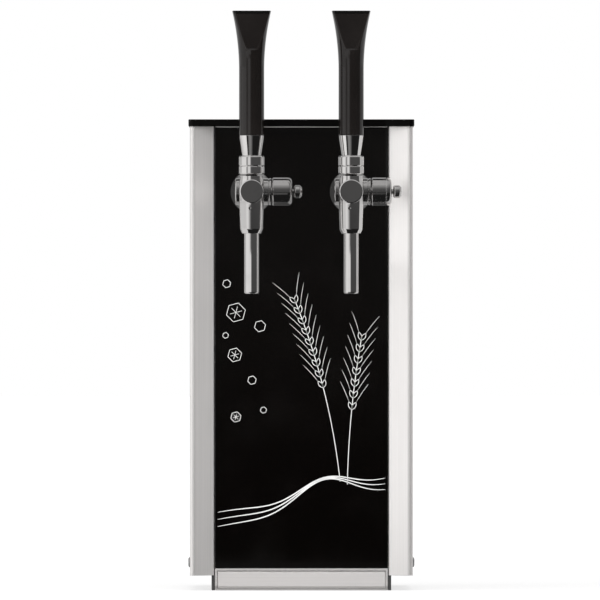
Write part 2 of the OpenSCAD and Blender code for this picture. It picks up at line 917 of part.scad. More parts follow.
module foam_cap() {
    color("ivory")
        difference() {
            span([-foam_w / 2, foam_front_y, block_top_z], [foam_w / 2, foam_back_y, cap_top_z]);
            block_ports(beer_r + 0.25, cool_r + 0.25, foam_t + 1);
        }
}

// Cooling block: cast aluminium with the beer and refrigerant coils inside, ports on top
module cooling_block() {
    color("lightgray")
        difference() {
            span([-block_w / 2, block_front_y, pan_top_z + foam_t],
                [block_w / 2, block_front_y + block_d, block_top_z]);
            block_ports(beer_r + fit, cool_r + fit, 1);
        }
}

module block_ports(beer_port_r, cool_port_r, above) {
    for (side = SIDES) {
        for (at = [[tap_pitch / 2, outlet_port_y], [inlet_x, inlet_port_y]])
            translate([side * at[0], at[1], block_top_z - port_depth - 1])
                cylinder(r = beer_port_r, h = port_depth + 1 + above);
        translate([side * cool_port_x, cool_port_y, block_top_z - port_depth - 1])
            cylinder(r = cool_port_r, h = port_depth + 1 + above);
    }
}

module beer_outlet_lines() {
    low = block_top_z - port_depth;
    color("white")
        for (side = SIDES)
            translate([side * tap_pitch / 2, 0, 0])
                tube([[0, outlet_port_y, low], [0, outlet_port_y, tap_z],
                    [0, tap_y + shank_end - tube_grip + 1, tap_z]], beer_r, beer_bend);
}

module beer_inlet_lines() {
    low = block_top_z - port_depth;
    color("white")
        for (side = SIDES)
            translate([side * inlet_x, 0, 0])
                tube([[0, inlet_port_y, low], [0, inlet_port_y, inlet_z],
                    [0, rear_panel_y - fitting_in + tube_grip - 1, inlet_z]], beer_r, beer_bend);
}

// Compressor: a domed shell in two halves on a pair of foot straps
module compressor() {
    dome = 0.3 * comp_h;
    seam = comp_h / 2;
    shell = concat([[0, 0]], [for (t = [-80:10:0]) [comp_r * cos(t), dome + dome * sin(t)]],
        [[comp_r, seam - 3], [comp_r + 3, seam - 3], [comp_r + 3, seam + 3], [comp_r, seam + 3]],
        [for (t = [0:10:80]) [comp_r * cos(t), comp_h - dome + dome * sin(t)]], [[0, comp_h]]);
    color(black)
        translate([0, comp_y, comp_foot_z])
            difference() {
                union() {
                    translate([0, 0, comp_foot_t - 1])
                        rotate_extrude()
                            polygon(shell);
                    for (s = SIDES) {
                        span([-comp_foot_x - 12, s * comp_foot_y - 11, 0],
                            [comp_foot_x + 12, s * comp_foot_y + 11, comp_foot_t + 6]);
                        translate([s * stub_x, 0, comp_h - dome])
                            cylinder(r = stub_r, h = stub_z - comp_foot_z - comp_h + dome);
                    }
                }
                for (s = SIDES) {
                    span([s * comp_foot_x - 12 - 1, -comp_foot_y - 12, comp_foot_t],
                        [s * comp_foot_x + 12 + 1, comp_foot_y + 12, comp_foot_t + 7]);
                    for (t = SIDES)
                        translate([s * comp_foot_x, t * comp_foot_y, -1])
                            cylinder(r = grommet_hole_r, h = comp_foot_t + 2);
                    translate([s * stub_x, 0, stub_z - comp_foot_z - port_depth])
                        cylinder(r = cool_r + fit, h = port_depth + 1);
                }
            }
}

module compressor_grommets() {
    color(dark)
        for (s = SIDES)
            for (t = SIDES)
                translate([s * comp_foot_x, comp_y + t * comp_foot_y, pan_top_z])
                    rotate_extrude()
                        polygon([[0, 0], [grommet_r, 0], [grommet_r, grommet_h / 3],
                            [grommet_r - grommet_waist, grommet_h / 2], [grommet_r, grommet_h * 2 / 3],
                            [grommet_r, grommet_h], [grommet_hole_r - clear, grommet_h],
                            [grommet_hole_r - clear, grommet_h + comp_foot_t + 1],
                            [0, grommet_h + comp_foot_t + 1]]);
}

// Condenser: fins on rows of tube, joined by return bends, between two end plates
module condenser() {
    fin_t = 0.8;
    plate_t = 1.5;
    fin_pitch = (2 * cond_half_w - 8) / (fins_n - 1);
    color("dimgray")
        translate([0, cond_mid_y, row_z0])
            difference() {
                union() {
                    for (k = [0:rows_n - 1])
                        translate([0, 0, k * row_pitch])
                            rod_x(row_r, -cond_half_w - row_out, cond_half_w + row_out);
                    for (k = [0:rows_n - 2])
                        translate([(k % 2 == 0 ? 1 : -1) * (cond_half_w + row_out), 0,
                            (k + 0.5) * row_pitch])
                            rotate([90, k % 2 == 0 ? 0 : 180, 0])
                                rotate([0, 0, -90])
                                    rotate_extrude(angle = 180)
                                        translate([row_pitch / 2, 0])
                                            circle(row_r);
                    for (i = [0:fins_n - 1])
                        translate([(i - (fins_n - 1) / 2) * fin_pitch, 0, 0])
                            span([-fin_t / 2, -cond_d / 2 + 2, -16],
                                [fin_t / 2, cond_d / 2 - 2, cond_h - 20]);
                    for (s = SIDES)
                        translate([s * cond_half_w, 0, 0])
                            span([-plate_t / 2, -cond_d / 2, -18], [plate_t / 2, cond_d / 2, cond_h - 18]);
                }
                for (k = [0, rows_n - 1])
                    translate([0, 0, k * row_pitch])
                        rod_x(cool_r + fit, -cond_half_w - 3, -cond_half_w + port_depth);
            }
}

// Fan bracket: the shroud on the condenser and the strap that holds the motor
module fan_bracket() {
    half = fan_r + 8;
    strap_w = 16;
    color("dimgray")
        translate([0, 0, fan_z]) {
            difference() {
                span([-cond_half_w, shroud_y, -half], [cond_half_w, shroud_y + shroud_t, half]);
                rod_y(fan_r + 2, shroud_y - 1, shroud_y + shroud_t + 1);
            }
            difference() {
                span([-strap_w / 2, strap_y, -half], [strap_w / 2, shroud_y, half]);
                span([-strap_w / 2 - 1, strap_y + strap_t, -half + strap_t],
                    [strap_w / 2 + 1, shroud_y + 1, half - strap_t]);
            }
        }
}

module fan_motor() {
    color(black)
        translate([0, 0, fan_z])
            turn_y([[0, motor_y], [motor_r - 2, motor_y], [motor_r, motor_y + 2],
                [motor_r, motor_y + motor_len - 3], [motor_r - 6, motor_y + motor_len],
                [shaft_r, motor_y + motor_len], [shaft_r, fan_y + fan_depth - 1],
                [0, fan_y + fan_depth - 1]]);
}

// Fan: a hub with pitched blades, trimmed to a circle
module fan() {
    hub_r = 15;
    blade_t = 1.4;
    pitch = 32;
    chord = (fan_depth - 2) / sin(pitch);
    color("lightgray")
        translate([0, fan_y, fan_z])
            difference() {
                union() {
                    rod_y(hub_r, 0, fan_depth);
                    intersection() {
                        rod_y(fan_r, 0, fan_depth);
                        for (k = [0:fan_blades_n - 1])
                            rotate([0, k * 360 / fan_blades_n, 0])
                                translate([0, fan_depth / 2, 0])
                                    rotate([pitch, 0, 0])
                                        translate([hub_r - 3, -blade_t / 2, -chord / 2])
                                            cube([fan_r, blade_t, chord]);
                    }
                }
                rod_y(shaft_r + fit, -1, fan_depth + 1);
            }
}

// Air pump: a motor can with a diaphragm head and its outlet
module air_pump() {
    back = pump_y + pump_d;
    color(dark)
        difference() {
            union() {
                translate([0, pump_y + pump_d / 2, cap_top_z])
                    linear_extrude(pump_h - pump_head_h)
                        rounded_rect(pump_w, pump_d, 6);
                translate([0, pump_y + pump_d / 2, cap_top_z])
                    cylinder(r = pump_w / 2 - pump_head_inset, h = pump_h);
                translate([0, 0, inlet_z])
                    rod_y(nipple_r, pump_y + pump_d / 2, back + nipple_len);
            }
            translate([0, 0, inlet_z])
                rod_y(cool_r + fit, back - 2, back + nipple_len + 1);
        }
}

module air_line() {
    color("white")
        translate([0, 0, inlet_z])
            rod_y(cool_r, pump_y + pump_d - 1, rear_face_y - fitting_in + port_depth - 1);
}

module filter_drier() {
    end_r = 4.6;
    end_len = 9;
    color("peru")
        translate([-drier_x, drier_y, drier_z])
            difference() {
                rotate_extrude()
                    polygon([[0, 0], [end_r, 0], [end_r, end_len], [drier_r, end_len + 6],
                        [drier_r, drier_len - end_len - 6], [end_r, drier_len - end_len], [end_r, drier_len],
                        [0, drier_len]]);
                for (z = [-1, drier_len - port_depth])
                    translate([0, 0, z])
                        cylinder(r = cool_r + fit, h = port_depth + 1);
            }
}

// Copper lines: compressor to condenser, condenser to drier, drier to block, block to compressor
module refrigerant_lines() {
    bend = 6;
    port_x = -cond_half_w + 5;
    low = block_top_z - port_depth + 1;
    stub_low = stub_z - port_depth + 1;
    color("peru") {
        tube([[-stub_x, comp_y, stub_low], [-stub_x, comp_y, discharge_z + 2 * bend],
            [-discharge_x, comp_y, discharge_z + 2 * bend],
            [-discharge_x, cond_mid_y - 3 * bend, discharge_z + 2 * bend],
            [-discharge_x, cond_mid_y, discharge_z], [port_x, cond_mid_y, discharge_z]], cool_r, bend);
        tube([[port_x, cond_mid_y, row_z0], [-drier_x, cond_mid_y, row_z0], [-drier_x, drier_y, row_z0],
            [-drier_x, drier_y, drier_z + port_depth - 1]], cool_r, bend);
        tube([[-drier_x, drier_y, drier_z + drier_len - port_depth + 1], [-drier_x, drier_y, line_z],
            [-drier_x, cool_port_y, line_z], [-cool_port_x, cool_port_y, line_z],
            [-cool_port_x, cool_port_y, low]], cool_r, bend);
        tube([[cool_port_x, cool_port_y, low], [cool_port_x, cool_port_y, line_z],
            [stub_x, comp_y, line_z], [stub_x, comp_y, stub_low]], cool_r, bend);
    }
}

// Bulkhead fitting: a collar outside, a thread through the panel and a nut inside
module bulkhead(outer_bore_r, outer_depth, inner_bore_r) {
    difference() {
        union() {
            turn_y([[0, -fitting_in], [thread_r, -fitting_in], [thread_r, 0], [flange_r, 0],
                [flange_r, flange_t], [barrel_r, flange_t + 1], [barrel_r, fitting_out - tip_len - 1],
                [tip_r, fitting_out - tip_len], [tip_r, fitting_out], [0, fitting_out]]);
            translate([0, -sheet_t - panel_nut_t, 0])
                rotate([-90, 0, 0])
                    cylinder(r = panel_nut_r, h = panel_nut_t, $fn = 6);
        }
        rod_y(outer_bore_r, fitting_out - outer_depth, fitting_out + 1);
        rod_y(inner_bore_r, -fitting_in - 1, -fitting_in + tube_grip);
    }
}

module beer_inlets() {
    color(dark)
        for (side = SIDES)
            at_rear(side * inlet_x, inlet_z)
                bulkhead(inlet_bore_r, socket_depth, beer_r + fit);
}

module air_outlet() {
    color(dark)
        at_rear(0, inlet_z)
            bulkhead(air_bore_r, socket_depth, cool_r + fit);
}

module thermostat() {
    color(dark)
        at_rear(dial_x, control_z) {
            span([-thermo_w / 2, -sheet_t - thermo_d, -thermo_h / 2],
                [thermo_w / 2, -sheet_t, thermo_h / 2]);
            rod_y(bush_r, -sheet_t - 1, 2);
            rod_y(dial_shaft_r, 1, dial_shaft_len);
        }
}

// Thermostat knob: a fluted dial with a pointer ridge
module thermostat_knob() {
    face = 17;
    flutes = 12;
    color(black)
        at_rear(dial_x, control_z)
            difference() {
                union() {
                    turn_y([[0, 3], [dial_r, 3], [dial_r, 6], [dial_r - 1.5, face - 1], [dial_r - 2.5, face],
                        [0, face]]);
                    span([-1, 4, 2], [1, face + 1, dial_r - 3]);
                }
                rod_y(dial_shaft_r + fit, 2, dial_shaft_len + 1);
                for (k = [0:flutes - 1])
                    rotate([0, (k + 0.5) * 360 / flutes, 0])
                        translate([dial_r + 1.4, 0, 0])
                            rod_y(2.6, 6.5, face + 2);
            }
}

// Switch frame: a snap-in box with a flange; the rocker turns on a pin in its cheeks
module switch_frame() {
    wall = switch_wall;
    color(black)
        at_rear(switch_x, control_z)
            difference() {
                union() {
                    span([-switch_w / 2, -switch_depth, -switch_h / 2], [switch_w / 2, 0, switch_h / 2]);
                    span([-switch_w / 2 - 2, 0, -switch_h / 2 - 2], [switch_w / 2 + 2, 2, switch_h / 2 + 2]);
                }
                span([-switch_w / 2 + wall, -switch_depth + wall, -switch_h / 2 + wall],
                    [switch_w / 2 - wall, 3, switch_h / 2 - wall]);
                translate([0, rocker_y, 0])
                    rod_x(rocker_pin_r + fit, -switch_w / 2 - 1, switch_w / 2 + 1);
            }
}

// Rocker: two wings at a shallow angle on a cross pin
module switch_rocker() {
    half = switch_h / 2 - 2.4;
    width = switch_w - 2 * switch_wall - 2 * clear;
    rise = half * tan(rocker_swing);
    color(black)
        at_rear(switch_x, control_z)
            translate([0, rocker_y, 0])
                rotate([rocker_swing / 2, 0, 0]) {
                    translate([-width / 2, 0, 0])
                        rotate([90, 0, 90])
                            linear_extrude(width)
                                polygon([[-4, -half * 0.7], [5 + rise / 2, -half], [5, 0],
                                    [5 + rise / 2, half], [-4, half * 0.7]]);
                    rod_x(rocker_pin_r, -switch_w / 2, switch_w / 2);
                }
}

// Cord gland: a domed nut on a thread, with the bore of the supply cord
module cord_gland() {
    color(black)
        at_rear(0, gland_z)
            difference() {
                union() {
                    turn_y([[0, -gland_in], [thread_r, -gland_in], [thread_r, 0], [flange_r, 0],
                        [flange_r, flange_t + 1], [gland_r, flange_t + 2], [gland_r, gland_out - 5],
                        [gland_r - 3, gland_out], [0, gland_out]]);
                    translate([0, -sheet_t - panel_nut_t, 0])
                        rotate([-90, 0, 0])
                            cylinder(r = panel_nut_r, h = panel_nut_t, $fn = 6);
                }
                rod_y(gland_bore_r, -gland_in - 1, gland_out + 1);
            }
}

plinth();
skid(LEFT);  // left_skid
skid(RIGHT);  // right_skid
drip_tray();
drip_grate();
floor_pan();
side_panel(LEFT);  // left_side_panel
side_panel(RIGHT);  // right_side_panel
front_panel();
front_fascia();
rear_panel();
lid();
side_screws();
rear_screws();
rosette(LEFT);  // left_rosette
flow_body(LEFT);  // left_flow_body
flow_knob(LEFT);  // left_flow_knob
flow_cone(LEFT);  // left_flow_cone
tap_body(LEFT);  // left_tap_body
front_cap(LEFT);  // left_front_cap
spout(LEFT);  // left_spout
lever(LEFT);  // left_lever
pivot_pin(LEFT);  // left_pivot_pin
handle(LEFT);  // left_handle
valve_stem(LEFT);  // left_valve_stem
rosette(RIGHT);  // right_rosette
flow_body(RIGHT);  // right_flow_body
flow_knob(RIGHT);  // right_flow_knob
flow_cone(RIGHT);  // right_flow_cone
tap_body(RIGHT);  // right_tap_body
front_cap(RIGHT);  // right_front_cap
spout(RIGHT);  // right_spout
lever(RIGHT);  // right_lever
pivot_pin(RIGHT);  // right_pivot_pin
handle(RIGHT);  // right_handle
valve_stem(RIGHT);  // right_valve_stem
shank_nuts();
foam_jacket();
foam_cap();
cooling_block();
beer_outlet_lines();
beer_inlet_lines();
compressor();
compressor_grommets();
condenser();
fan_bracket();
fan_motor();
fan();
air_pump();
air_line();
filter_drier();
refrigerant_lines();
beer_inlets();
air_outlet();
thermostat();
thermostat_knob();
switch_frame();
switch_rocker();
cord_gland();
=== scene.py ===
# %% [markdown]
# # A portable beer dispenser with two taps
# The solids of the dispenser are already built, packed and jointed, in metres, with the table at
# zero. This lesson dresses them. Each step takes one piece of the real machine, says how it could be
# made, and then works it out as a surface with numpy: a profile turned about an axis, carried along a
# path, or spread over a grid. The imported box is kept, because dressing may not change the size.

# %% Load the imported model
import json

import bmesh
import bpy
import numpy as np
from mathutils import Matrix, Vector

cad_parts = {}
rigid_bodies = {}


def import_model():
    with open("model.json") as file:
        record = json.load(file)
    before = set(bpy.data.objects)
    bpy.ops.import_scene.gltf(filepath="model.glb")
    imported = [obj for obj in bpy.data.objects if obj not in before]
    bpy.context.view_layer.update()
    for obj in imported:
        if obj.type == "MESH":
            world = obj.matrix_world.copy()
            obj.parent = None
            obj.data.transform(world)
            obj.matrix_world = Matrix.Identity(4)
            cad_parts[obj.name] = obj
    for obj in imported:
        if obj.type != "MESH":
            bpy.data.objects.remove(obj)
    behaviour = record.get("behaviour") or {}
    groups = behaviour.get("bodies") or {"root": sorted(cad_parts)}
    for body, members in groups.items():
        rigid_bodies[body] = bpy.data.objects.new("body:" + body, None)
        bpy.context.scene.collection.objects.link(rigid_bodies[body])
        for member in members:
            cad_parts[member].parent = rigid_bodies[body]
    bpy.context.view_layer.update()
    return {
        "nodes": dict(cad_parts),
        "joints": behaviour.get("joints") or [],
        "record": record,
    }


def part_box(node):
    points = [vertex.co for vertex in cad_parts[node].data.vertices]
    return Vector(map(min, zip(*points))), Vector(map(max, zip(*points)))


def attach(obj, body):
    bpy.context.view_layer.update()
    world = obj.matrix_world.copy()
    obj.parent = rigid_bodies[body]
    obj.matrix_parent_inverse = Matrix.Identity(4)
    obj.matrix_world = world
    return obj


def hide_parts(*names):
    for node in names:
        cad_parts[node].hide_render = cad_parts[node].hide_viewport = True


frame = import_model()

MM = 0.001
nodes = frame["nodes"]
joints = {joint["name"]: joint for joint in frame["joints"]}
slots = {part["node"]: part["material_slot"] for part in frame["record"]["subparts"]}


def box_of(node):
    """The lowest and the highest corner of a solid at rest, as arrays in metres."""
    return [np.array(corner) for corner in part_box(node)]


print("solids:", len(nodes), "joints:", len(joints))

# %% [markdown]
# ## The camera
# The dispenser is looked at straight from the front and from far off, so that both sides of the case
# hide behind its front edges. An orthographic camera would do, but a very long lens keeps a trace of
# depth on the taps, which stand nearer than the case. The frame is square and 522 mm wide at the front.

# %% Camera
VIEW_FROM = 20.0
FRONT_Y = -0.19
FRAME_W = 0.522
AIM_X, AIM_Z = -0.0012, 0.2528
lens = bpy.data.cameras.new("front_view")
lens.sensor_width = 36
lens.lens = lens.sensor_width * VIEW_FROM / FRAME_W
camera = bpy.data.objects.new("front_view", lens)
camera.location = (AIM_X, FRONT_Y - VIEW_FROM, AIM_Z)
camera.rotation_euler = (np.pi / 2, 0, 0)
bpy.context.scene.collection.objects.link(camera)
bpy.context.scene.camera = camera
bpy.context.scene.view_settings.view_transform = "Standard"
print("lens:", round(lens.lens, 1), "mm")

# %% [markdown]
# ## Surfaces from grids
# Almost everything on this machine is turned on a lathe, folded from sheet or moulded. All three are
# grids: each row is a closed ring, and the rows follow a profile or a path. One helper joins the grid's
# points into quads and another makes the mesh. Doubles at poles are merged, and only then are the normals
# turned outwards.

# %% Grid helpers
DOUBLES, DEGENERATE = 1e-7, 1e-8
NORMAL_WEIGHT = 60


def grid_faces(rows, columns, closed):
    """Cell (i, j) joins points (i, j), (i+1, j), (i+1, j+1) and (i, j+1). Closed rows run on into their
    start."""
    i = np.arange(rows - 1)[:, None]
    j = np.arange(columns if closed else columns - 1)[None, :]
    j_next = (j + 1) % columns
    quads = np.broadcast_arrays(i * columns + j, (i + 1) * columns + j,
                                (i + 1) * columns + j_next, i * columns + j_next)
    return np.stack(quads, -1).reshape(-1, 4)


def new_piece(name, surfaces, body, finish, replaced=()):
    """One object from several surfaces. A surface is (points, edge): a grid of closed rows, and how near
    each of its points is to a worn corner, from 0 to 1."""
    sizes = np.array([points.shape[0] * points.shape[1] for points, _ in surfaces])
    starts = np.concatenate([[0], np.cumsum(sizes)[:-1]])
    places = np.concatenate([points.reshape(-1, 3) for points, _ in surfaces])
    faces = np.concatenate([grid_faces(points.shape[0], points.shape[1], True) + start
                            for (points, _), start in zip(surfaces, starts)])
    edges = np.concatenate([np.broadcast_to(edge, points.shape[:2]).reshape(-1) for points, edge in surfaces])
    mesh = bpy.data.meshes.new(name)
    mesh.from_pydata(places.tolist(), [], faces.tolist())
    mesh.attributes.new("edge", "FLOAT", "POINT").data.foreach_set("value", edges.astype(np.float32))
    work = bmesh.new()
    work.from_mesh(mesh)
    bmesh.ops.remove_doubles(work, verts=work.verts, dist=DOUBLES)
    bmesh.ops.dissolve_degenerate(work, edges=work.edges, dist=DEGENERATE)
    bmesh.ops.recalc_face_normals(work, faces=work.faces)
    work.to_mesh(mesh)
    work.free()
    mesh.polygons.foreach_set("use_smooth", np.ones(len(mesh.polygons), dtype=bool))
    mesh.materials.append(finish)
    piece = bpy.data.objects.new(name, mesh)
    bpy.context.scene.collection.objects.link(piece)
    flat = piece.modifiers.new("even_shading", "WEIGHTED_NORMAL")
    flat.mode = "FACE_AREA"
    flat.weight = NORMAL_WEIGHT
    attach(piece, body)
    if replaced:
        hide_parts(*replaced)
    return piece


print("helpers ready: grid_faces, new_piece")

# %% Lathe helpers
AXES = {"X": np.eye(3)[[1, 2, 0]], "Y": np.eye(3)[[2, 0, 1]], "Z": np.eye(3)}


def softened(corners, radius, steps=7):
    """Profile with rounded corners: corner C becomes the curve (1-t)^2 A + 2t(1-t) C + t^2 B, where A and B
    lie `radius` away from C on its two edges, but always short of their middles. Returns the profile and its
    edge weight 4t(1-t)."""
    corners = np.asarray(corners, float)
    here = corners[1:-1]
    radius = np.broadcast_to(np.asarray(radius, float), len(here))[:, None]

    def towards(other):
        gap = other - here
        length = np.maximum(np.linalg.norm(gap, axis=1, keepdims=True), 1e-9)
        return here + gap * np.minimum(radius / length, 0.49)

    t = np.linspace(0, 1, steps)[None, :, None]
    before, after = towards(corners[:-2])[:, None], towards(corners[2:])[:, None]
    curve = (1 - t) ** 2 * before + 2 * t * (1 - t) * here[:, None] + t ** 2 * after
    profile = np.vstack([corners[:1], curve.reshape(-1, 2), corners[-1:]])
    weight = np.tile(4 * t[0, :, 0] * (1 - t[0, :, 0]), len(here))
    return profile, np.concatenate([[0], weight, [0]])


def turned(corners, at, axis, radius, segments=96, ring=False):
    """Lathe work: each profile point (r, h), in mm, goes to at + h*axis + r*(cos u*side + sin u*up) for u
    round the circle. A ring joins its last profile point to its first."""
    if ring:
        corners = list(corners) + [corners[0]]
    profile, edge = softened(corners, radius)
    side, up, along = AXES[axis]
    u = np.linspace(0, 2 * np.pi, segments, endpoint=False)
    circle = np.cos(u)[:, None] * side + np.sin(u)[:, None] * up
    r, h = profile[:, 0, None, None], profile[:, 1, None, None]
    return np.asarray(at) + MM * (h * along + r * circle[None]), edge[:, None]


print("helpers ready: softened, turned")

# %% [markdown]
# ## Finishes as sums
# A finish is a small network of nodes, and networks read badly in code. So one class wraps a socket and
# takes plus, minus and times, each of which adds a Math node. Everything else, such as a noise or a bump,
# comes from its one method `node`. What varies over a surface feeds only colour, roughness, metallic and
# the normal. What is the same all over is set on the shader's own socket.

# %% The socket class
class Signal:
    """An output socket of a finish that can be used in sums."""

    def __init__(self, tree, socket):
        self.tree, self.socket = tree, socket

    def node(self, kind, settings=None, inputs=None, out=0):
        """Adds a node: its settings first, then the values or links of its sockets."""
        made = self.tree.nodes.new(kind)
        for key, value in (settings or {}).items():
            setattr(made, key, value)
        for key, value in (inputs or {}).items():
            if isinstance(value, Signal):
                self.tree.links.new(value.socket, made.inputs[key])
            else:
                made.inputs[key].default_value = value
        return Signal(self.tree, made.outputs[out])

    def math(self, operation, first, second):
        """One Math node on two values or signals."""
        return self.node("ShaderNodeMath", {"operation": operation}, {0: first, 1: second})

    def __add__(self, other):
        return self.math("ADD", self, other)

    __radd__ = __add__

    def __sub__(self, other):
        return self.math("SUBTRACT", self, other)

    def __rsub__(self, other):
        return self.math("SUBTRACT", other, self)

    def __mul__(self, other):
        return self.math("MULTIPLY", self, other)

    __rmul__ = __mul__

    def __abs__(self):
        return self.math("ABSOLUTE", self, 0.0)

    def smooth(self, low, high):
        """0 below low and 1 above high, with an S-shaped rise between them."""
        return self.node("ShaderNodeMapRange", {"interpolation_type": "SMOOTHSTEP"},
                         {"Value": self, "From Min": low, "From Max": high, "To Min": 0.0, "To Max": 1.0})

    def band(self, rise, fall):
        """Climbs from 0 to 1 over the range rise and sinks back to 0 over the range fall."""
        return self.smooth(*rise) * (1 - self.smooth(*fall))

    def coordinates(self):
        """The x, y and z of a vector signal."""
        return [self.node("ShaderNodeSeparateXYZ", {}, {0: self}, out=k) for k in range(3)]

    def stretch(self, across):
        """A vector signal times the vector across."""
        return self.node("ShaderNodeVectorMath", {"operation": "MULTIPLY"}, {0: self, 1: across})

    def noise(self, scale, detail):
        """Soft random patches from 0 to 1 over a vector signal."""
        return self.node("ShaderNodeTexNoise", {}, {"Vector": self, "Scale": scale, "Detail": detail})

    def between(self, dark, light):
        """The colour dark where this signal is 0 and light where it is 1; either may be a signal itself."""
        dark, light = (colour if isinstance(colour, Signal) else (*colour, 1.0) for colour in (dark, light))
        return self.node("ShaderNodeMix", {"data_type": "RGBA"}, {0: self, 6: dark, 7: light}, out=2)

    def bump(self, strength, distance):
        """A normal that tilts as if this signal were a height."""
        return self.node("ShaderNodeBump", {}, {"Height": self, "Strength": strength, "Distance": distance})


print("sums on sockets: +, -, *, abs, smooth, band, coordinates, stretch, noise, between, bump")

# %% Start and apply a finish
def new_material(name):
    """A new material and its node tree."""
    material = bpy.data.materials.new(name)
    material.use_nodes = True
    return material, material.node_tree


def source(tree, kind, output):
    """A signal from a new node that needs no input, such as Texture Coordinate."""
    return Signal(tree, tree.nodes.new(kind).outputs[output])


def start_finish(name):
    """A new material, with its shader, the Object coordinates and the edge weight of its piece."""
    material, tree = new_material(name)
    place = source(tree, "ShaderNodeTexCoord", "Object")
    edge = place.node("ShaderNodeAttribute", {"attribute_name": "edge"}, out="Fac")
    return material, tree.nodes["Principled BSDF"], place, edge


def apply_finish(shader, **sockets):
    """Puts a value or a signal on each named socket; underscores in the names stand for spaces."""
    for key, value in sockets.items():
        socket = shader.inputs[key.replace("_", " ")]
        if isinstance(value, Signal):
            value.tree.links.new(value.socket, socket)
        else:
            socket.default_value = value


print("helpers ready: new_material, source, start_finish, apply_finish")

# %% [markdown]
# ## The metals
# The case is brushed stainless sheet: fine lines that all run one way, which blur reflections across them.
# They are a noise drawn out some two hundred times further along the grain than across it, in the colour,
# the roughness and a faint bump. The taps are chrome: nearly a mirror, with finger marks that dull it.
# Their rosettes and flow controls get a darker copy of the chrome, as painted shade.

# %% Brushed steel
side_low, side_high = box_of("right_side_panel")
SIDE_X, BEND_Y = side_high[0], side_low[1]
SIDE_FACE = (SIDE_X - 0.0016, SIDE_X - 0.0003)
BACK_HALF = (0.0, 0.05)
FRONT_BEND_SHADE = (BEND_Y + 0.0002, BEND_Y + 0.0007)
# How much darker the colour is painted on the front bends and at the foot: painted shade.
BEND_SHADE_TONE, FOOT_SHADE_TONE = 0.85, 0.62
GRAIN = {"X": (7.0, 1500.0, 1500.0), "Z": (1500.0, 1500.0, 7.0)}


def brushed_steel(name, grain, dark, light, metallic, rough, broad=0.0, foot=0.0):
    """Sheet with lines along the grain. Its broad faces, at the sides and the back, gain the metallic share
    `broad`: they keep their mill finish, while the flanges at the front are finer and look whiter. The front
    bends are painted a shade darker, which is painted shade, and below the height `foot` the colour is
    painted darker: painted shade near the floor."""
    material, shader, place, edge = start_finish(name)
    x, y, z = place.coordinates()
    lines = place.stretch(GRAIN[grain]).noise(1.0, 3.0)
    cloud = place.noise(9.0, 3.0)
    colour = (lines.smooth(0.3, 0.7) * 0.7 + cloud.smooth(0.35, 0.65) * 0.3).between(dark, light)
    if broad:
        side = abs(x).smooth(*SIDE_FACE)
        back = y.smooth(*BACK_HALF)
        metallic = metallic + broad * (side + back - side * back)
        # The front bends are painted a shade darker: painted shade.
        bend = 1 - y.smooth(*FRONT_BEND_SHADE)
        colour = bend.between(colour, [BEND_SHADE_TONE * part for part in dark])
    # Below the height foot the colour is painted darker: painted shade near the floor.
    if foot:
        colour = z.smooth(0.5 * foot, foot).between([FOOT_SHADE_TONE * part for part in dark], colour)
    apply_finish(shader, Base_Color=colour, Metallic=metallic,
                 Roughness=rough + 0.12 * lines + 0.08 * cloud - 0.1 * edge,
                 Normal=lines.bump(0.06, 0.0003))
    return material


case_steel = brushed_steel("case_steel", "Z", (0.74, 0.72, 0.708), (0.80, 0.778, 0.766),
                           metallic=0.52, rough=0.3, broad=0.28)
tray_steel = brushed_steel("tray_steel", "X", (0.67, 0.648, 0.637), (0.73, 0.706, 0.695),
                           metallic=0.4, rough=0.3)
# The plinth's foot, below 5 mm, is painted darker: painted shade.
plinth_steel = brushed_steel("plinth_steel", "X", (0.76, 0.737, 0.725), (0.81, 0.785, 0.772),
                             metallic=0.6, rough=0.3, foot=0.005)
print("sheet:", [m.name for m in (case_steel, tray_steel, plinth_steel)])

# %% Plated and bare metals
HAIR_LINES = (2600.0, 2600.0, 160.0)


def plated(name, dark, light, rough, mark_scale):
    """Smooth metal: finger marks and worn edges are darker and duller, and upright hair lines dull it too."""
    material, shader, place, edge = start_finish(name)
    marks = place.noise(mark_scale, 4.0).smooth(0.48, 0.75)
    hair = place.stretch(HAIR_LINES).noise(1.0, 1.0).smooth(0.6, 0.75)
    apply_finish(shader, Base_Color=(marks * 0.6 + edge * 0.4).between(light, dark), Metallic=1.0,
                 Roughness=rough + 0.05 * marks + 0.02 * hair + 0.05 * edge)
    return material


tap_chrome = plated("tap_chrome", (0.58, 0.567, 0.56), (0.67, 0.656, 0.648), rough=0.03, mark_scale=70.0)
# A darker copy of the chrome for the rosettes, flow housings and knobs: painted shade.
knob_nickel = plated("knob_nickel", (0.46, 0.449, 0.443), (0.54, 0.528, 0.521), rough=0.13, mark_scale=70.0)
screw_steel = plated("screw_steel", (0.28, 0.28, 0.27), (0.42, 0.42, 0.42), rough=0.28, mark_scale=300.0)
cast_aluminium = plated("cast_aluminium", (0.55, 0.55, 0.55), (0.7, 0.7, 0.7), rough=0.45, mark_scale=60.0)
copper = plated("copper", (0.5, 0.22, 0.12), (0.8, 0.42, 0.27), rough=0.25, mark_scale=120.0)
print("metals:", [m.name for m in (tap_chrome, knob_nickel, screw_steel, cast_aluminium, copper)])

# %% [markdown]
# ## The plastics and paints
# The front is a gloss black panel, the handles are polished black plastic and the lid has a satin skin.
# Polished plastic is never quite flat, so a broad, weak bump makes its reflections swim. Moulded plastic
# has a fine spark-eroded grain. Worn edges are a little paler. On polished plastic they are duller too, and
# on moulded plastic, where hands rub the grain away, they are shinier.

# %% Polished and moulded finishes
PLUG_BLACK = (0.0015, 0.0013, 0.0012)
PLUG_SEAM = 0.0002


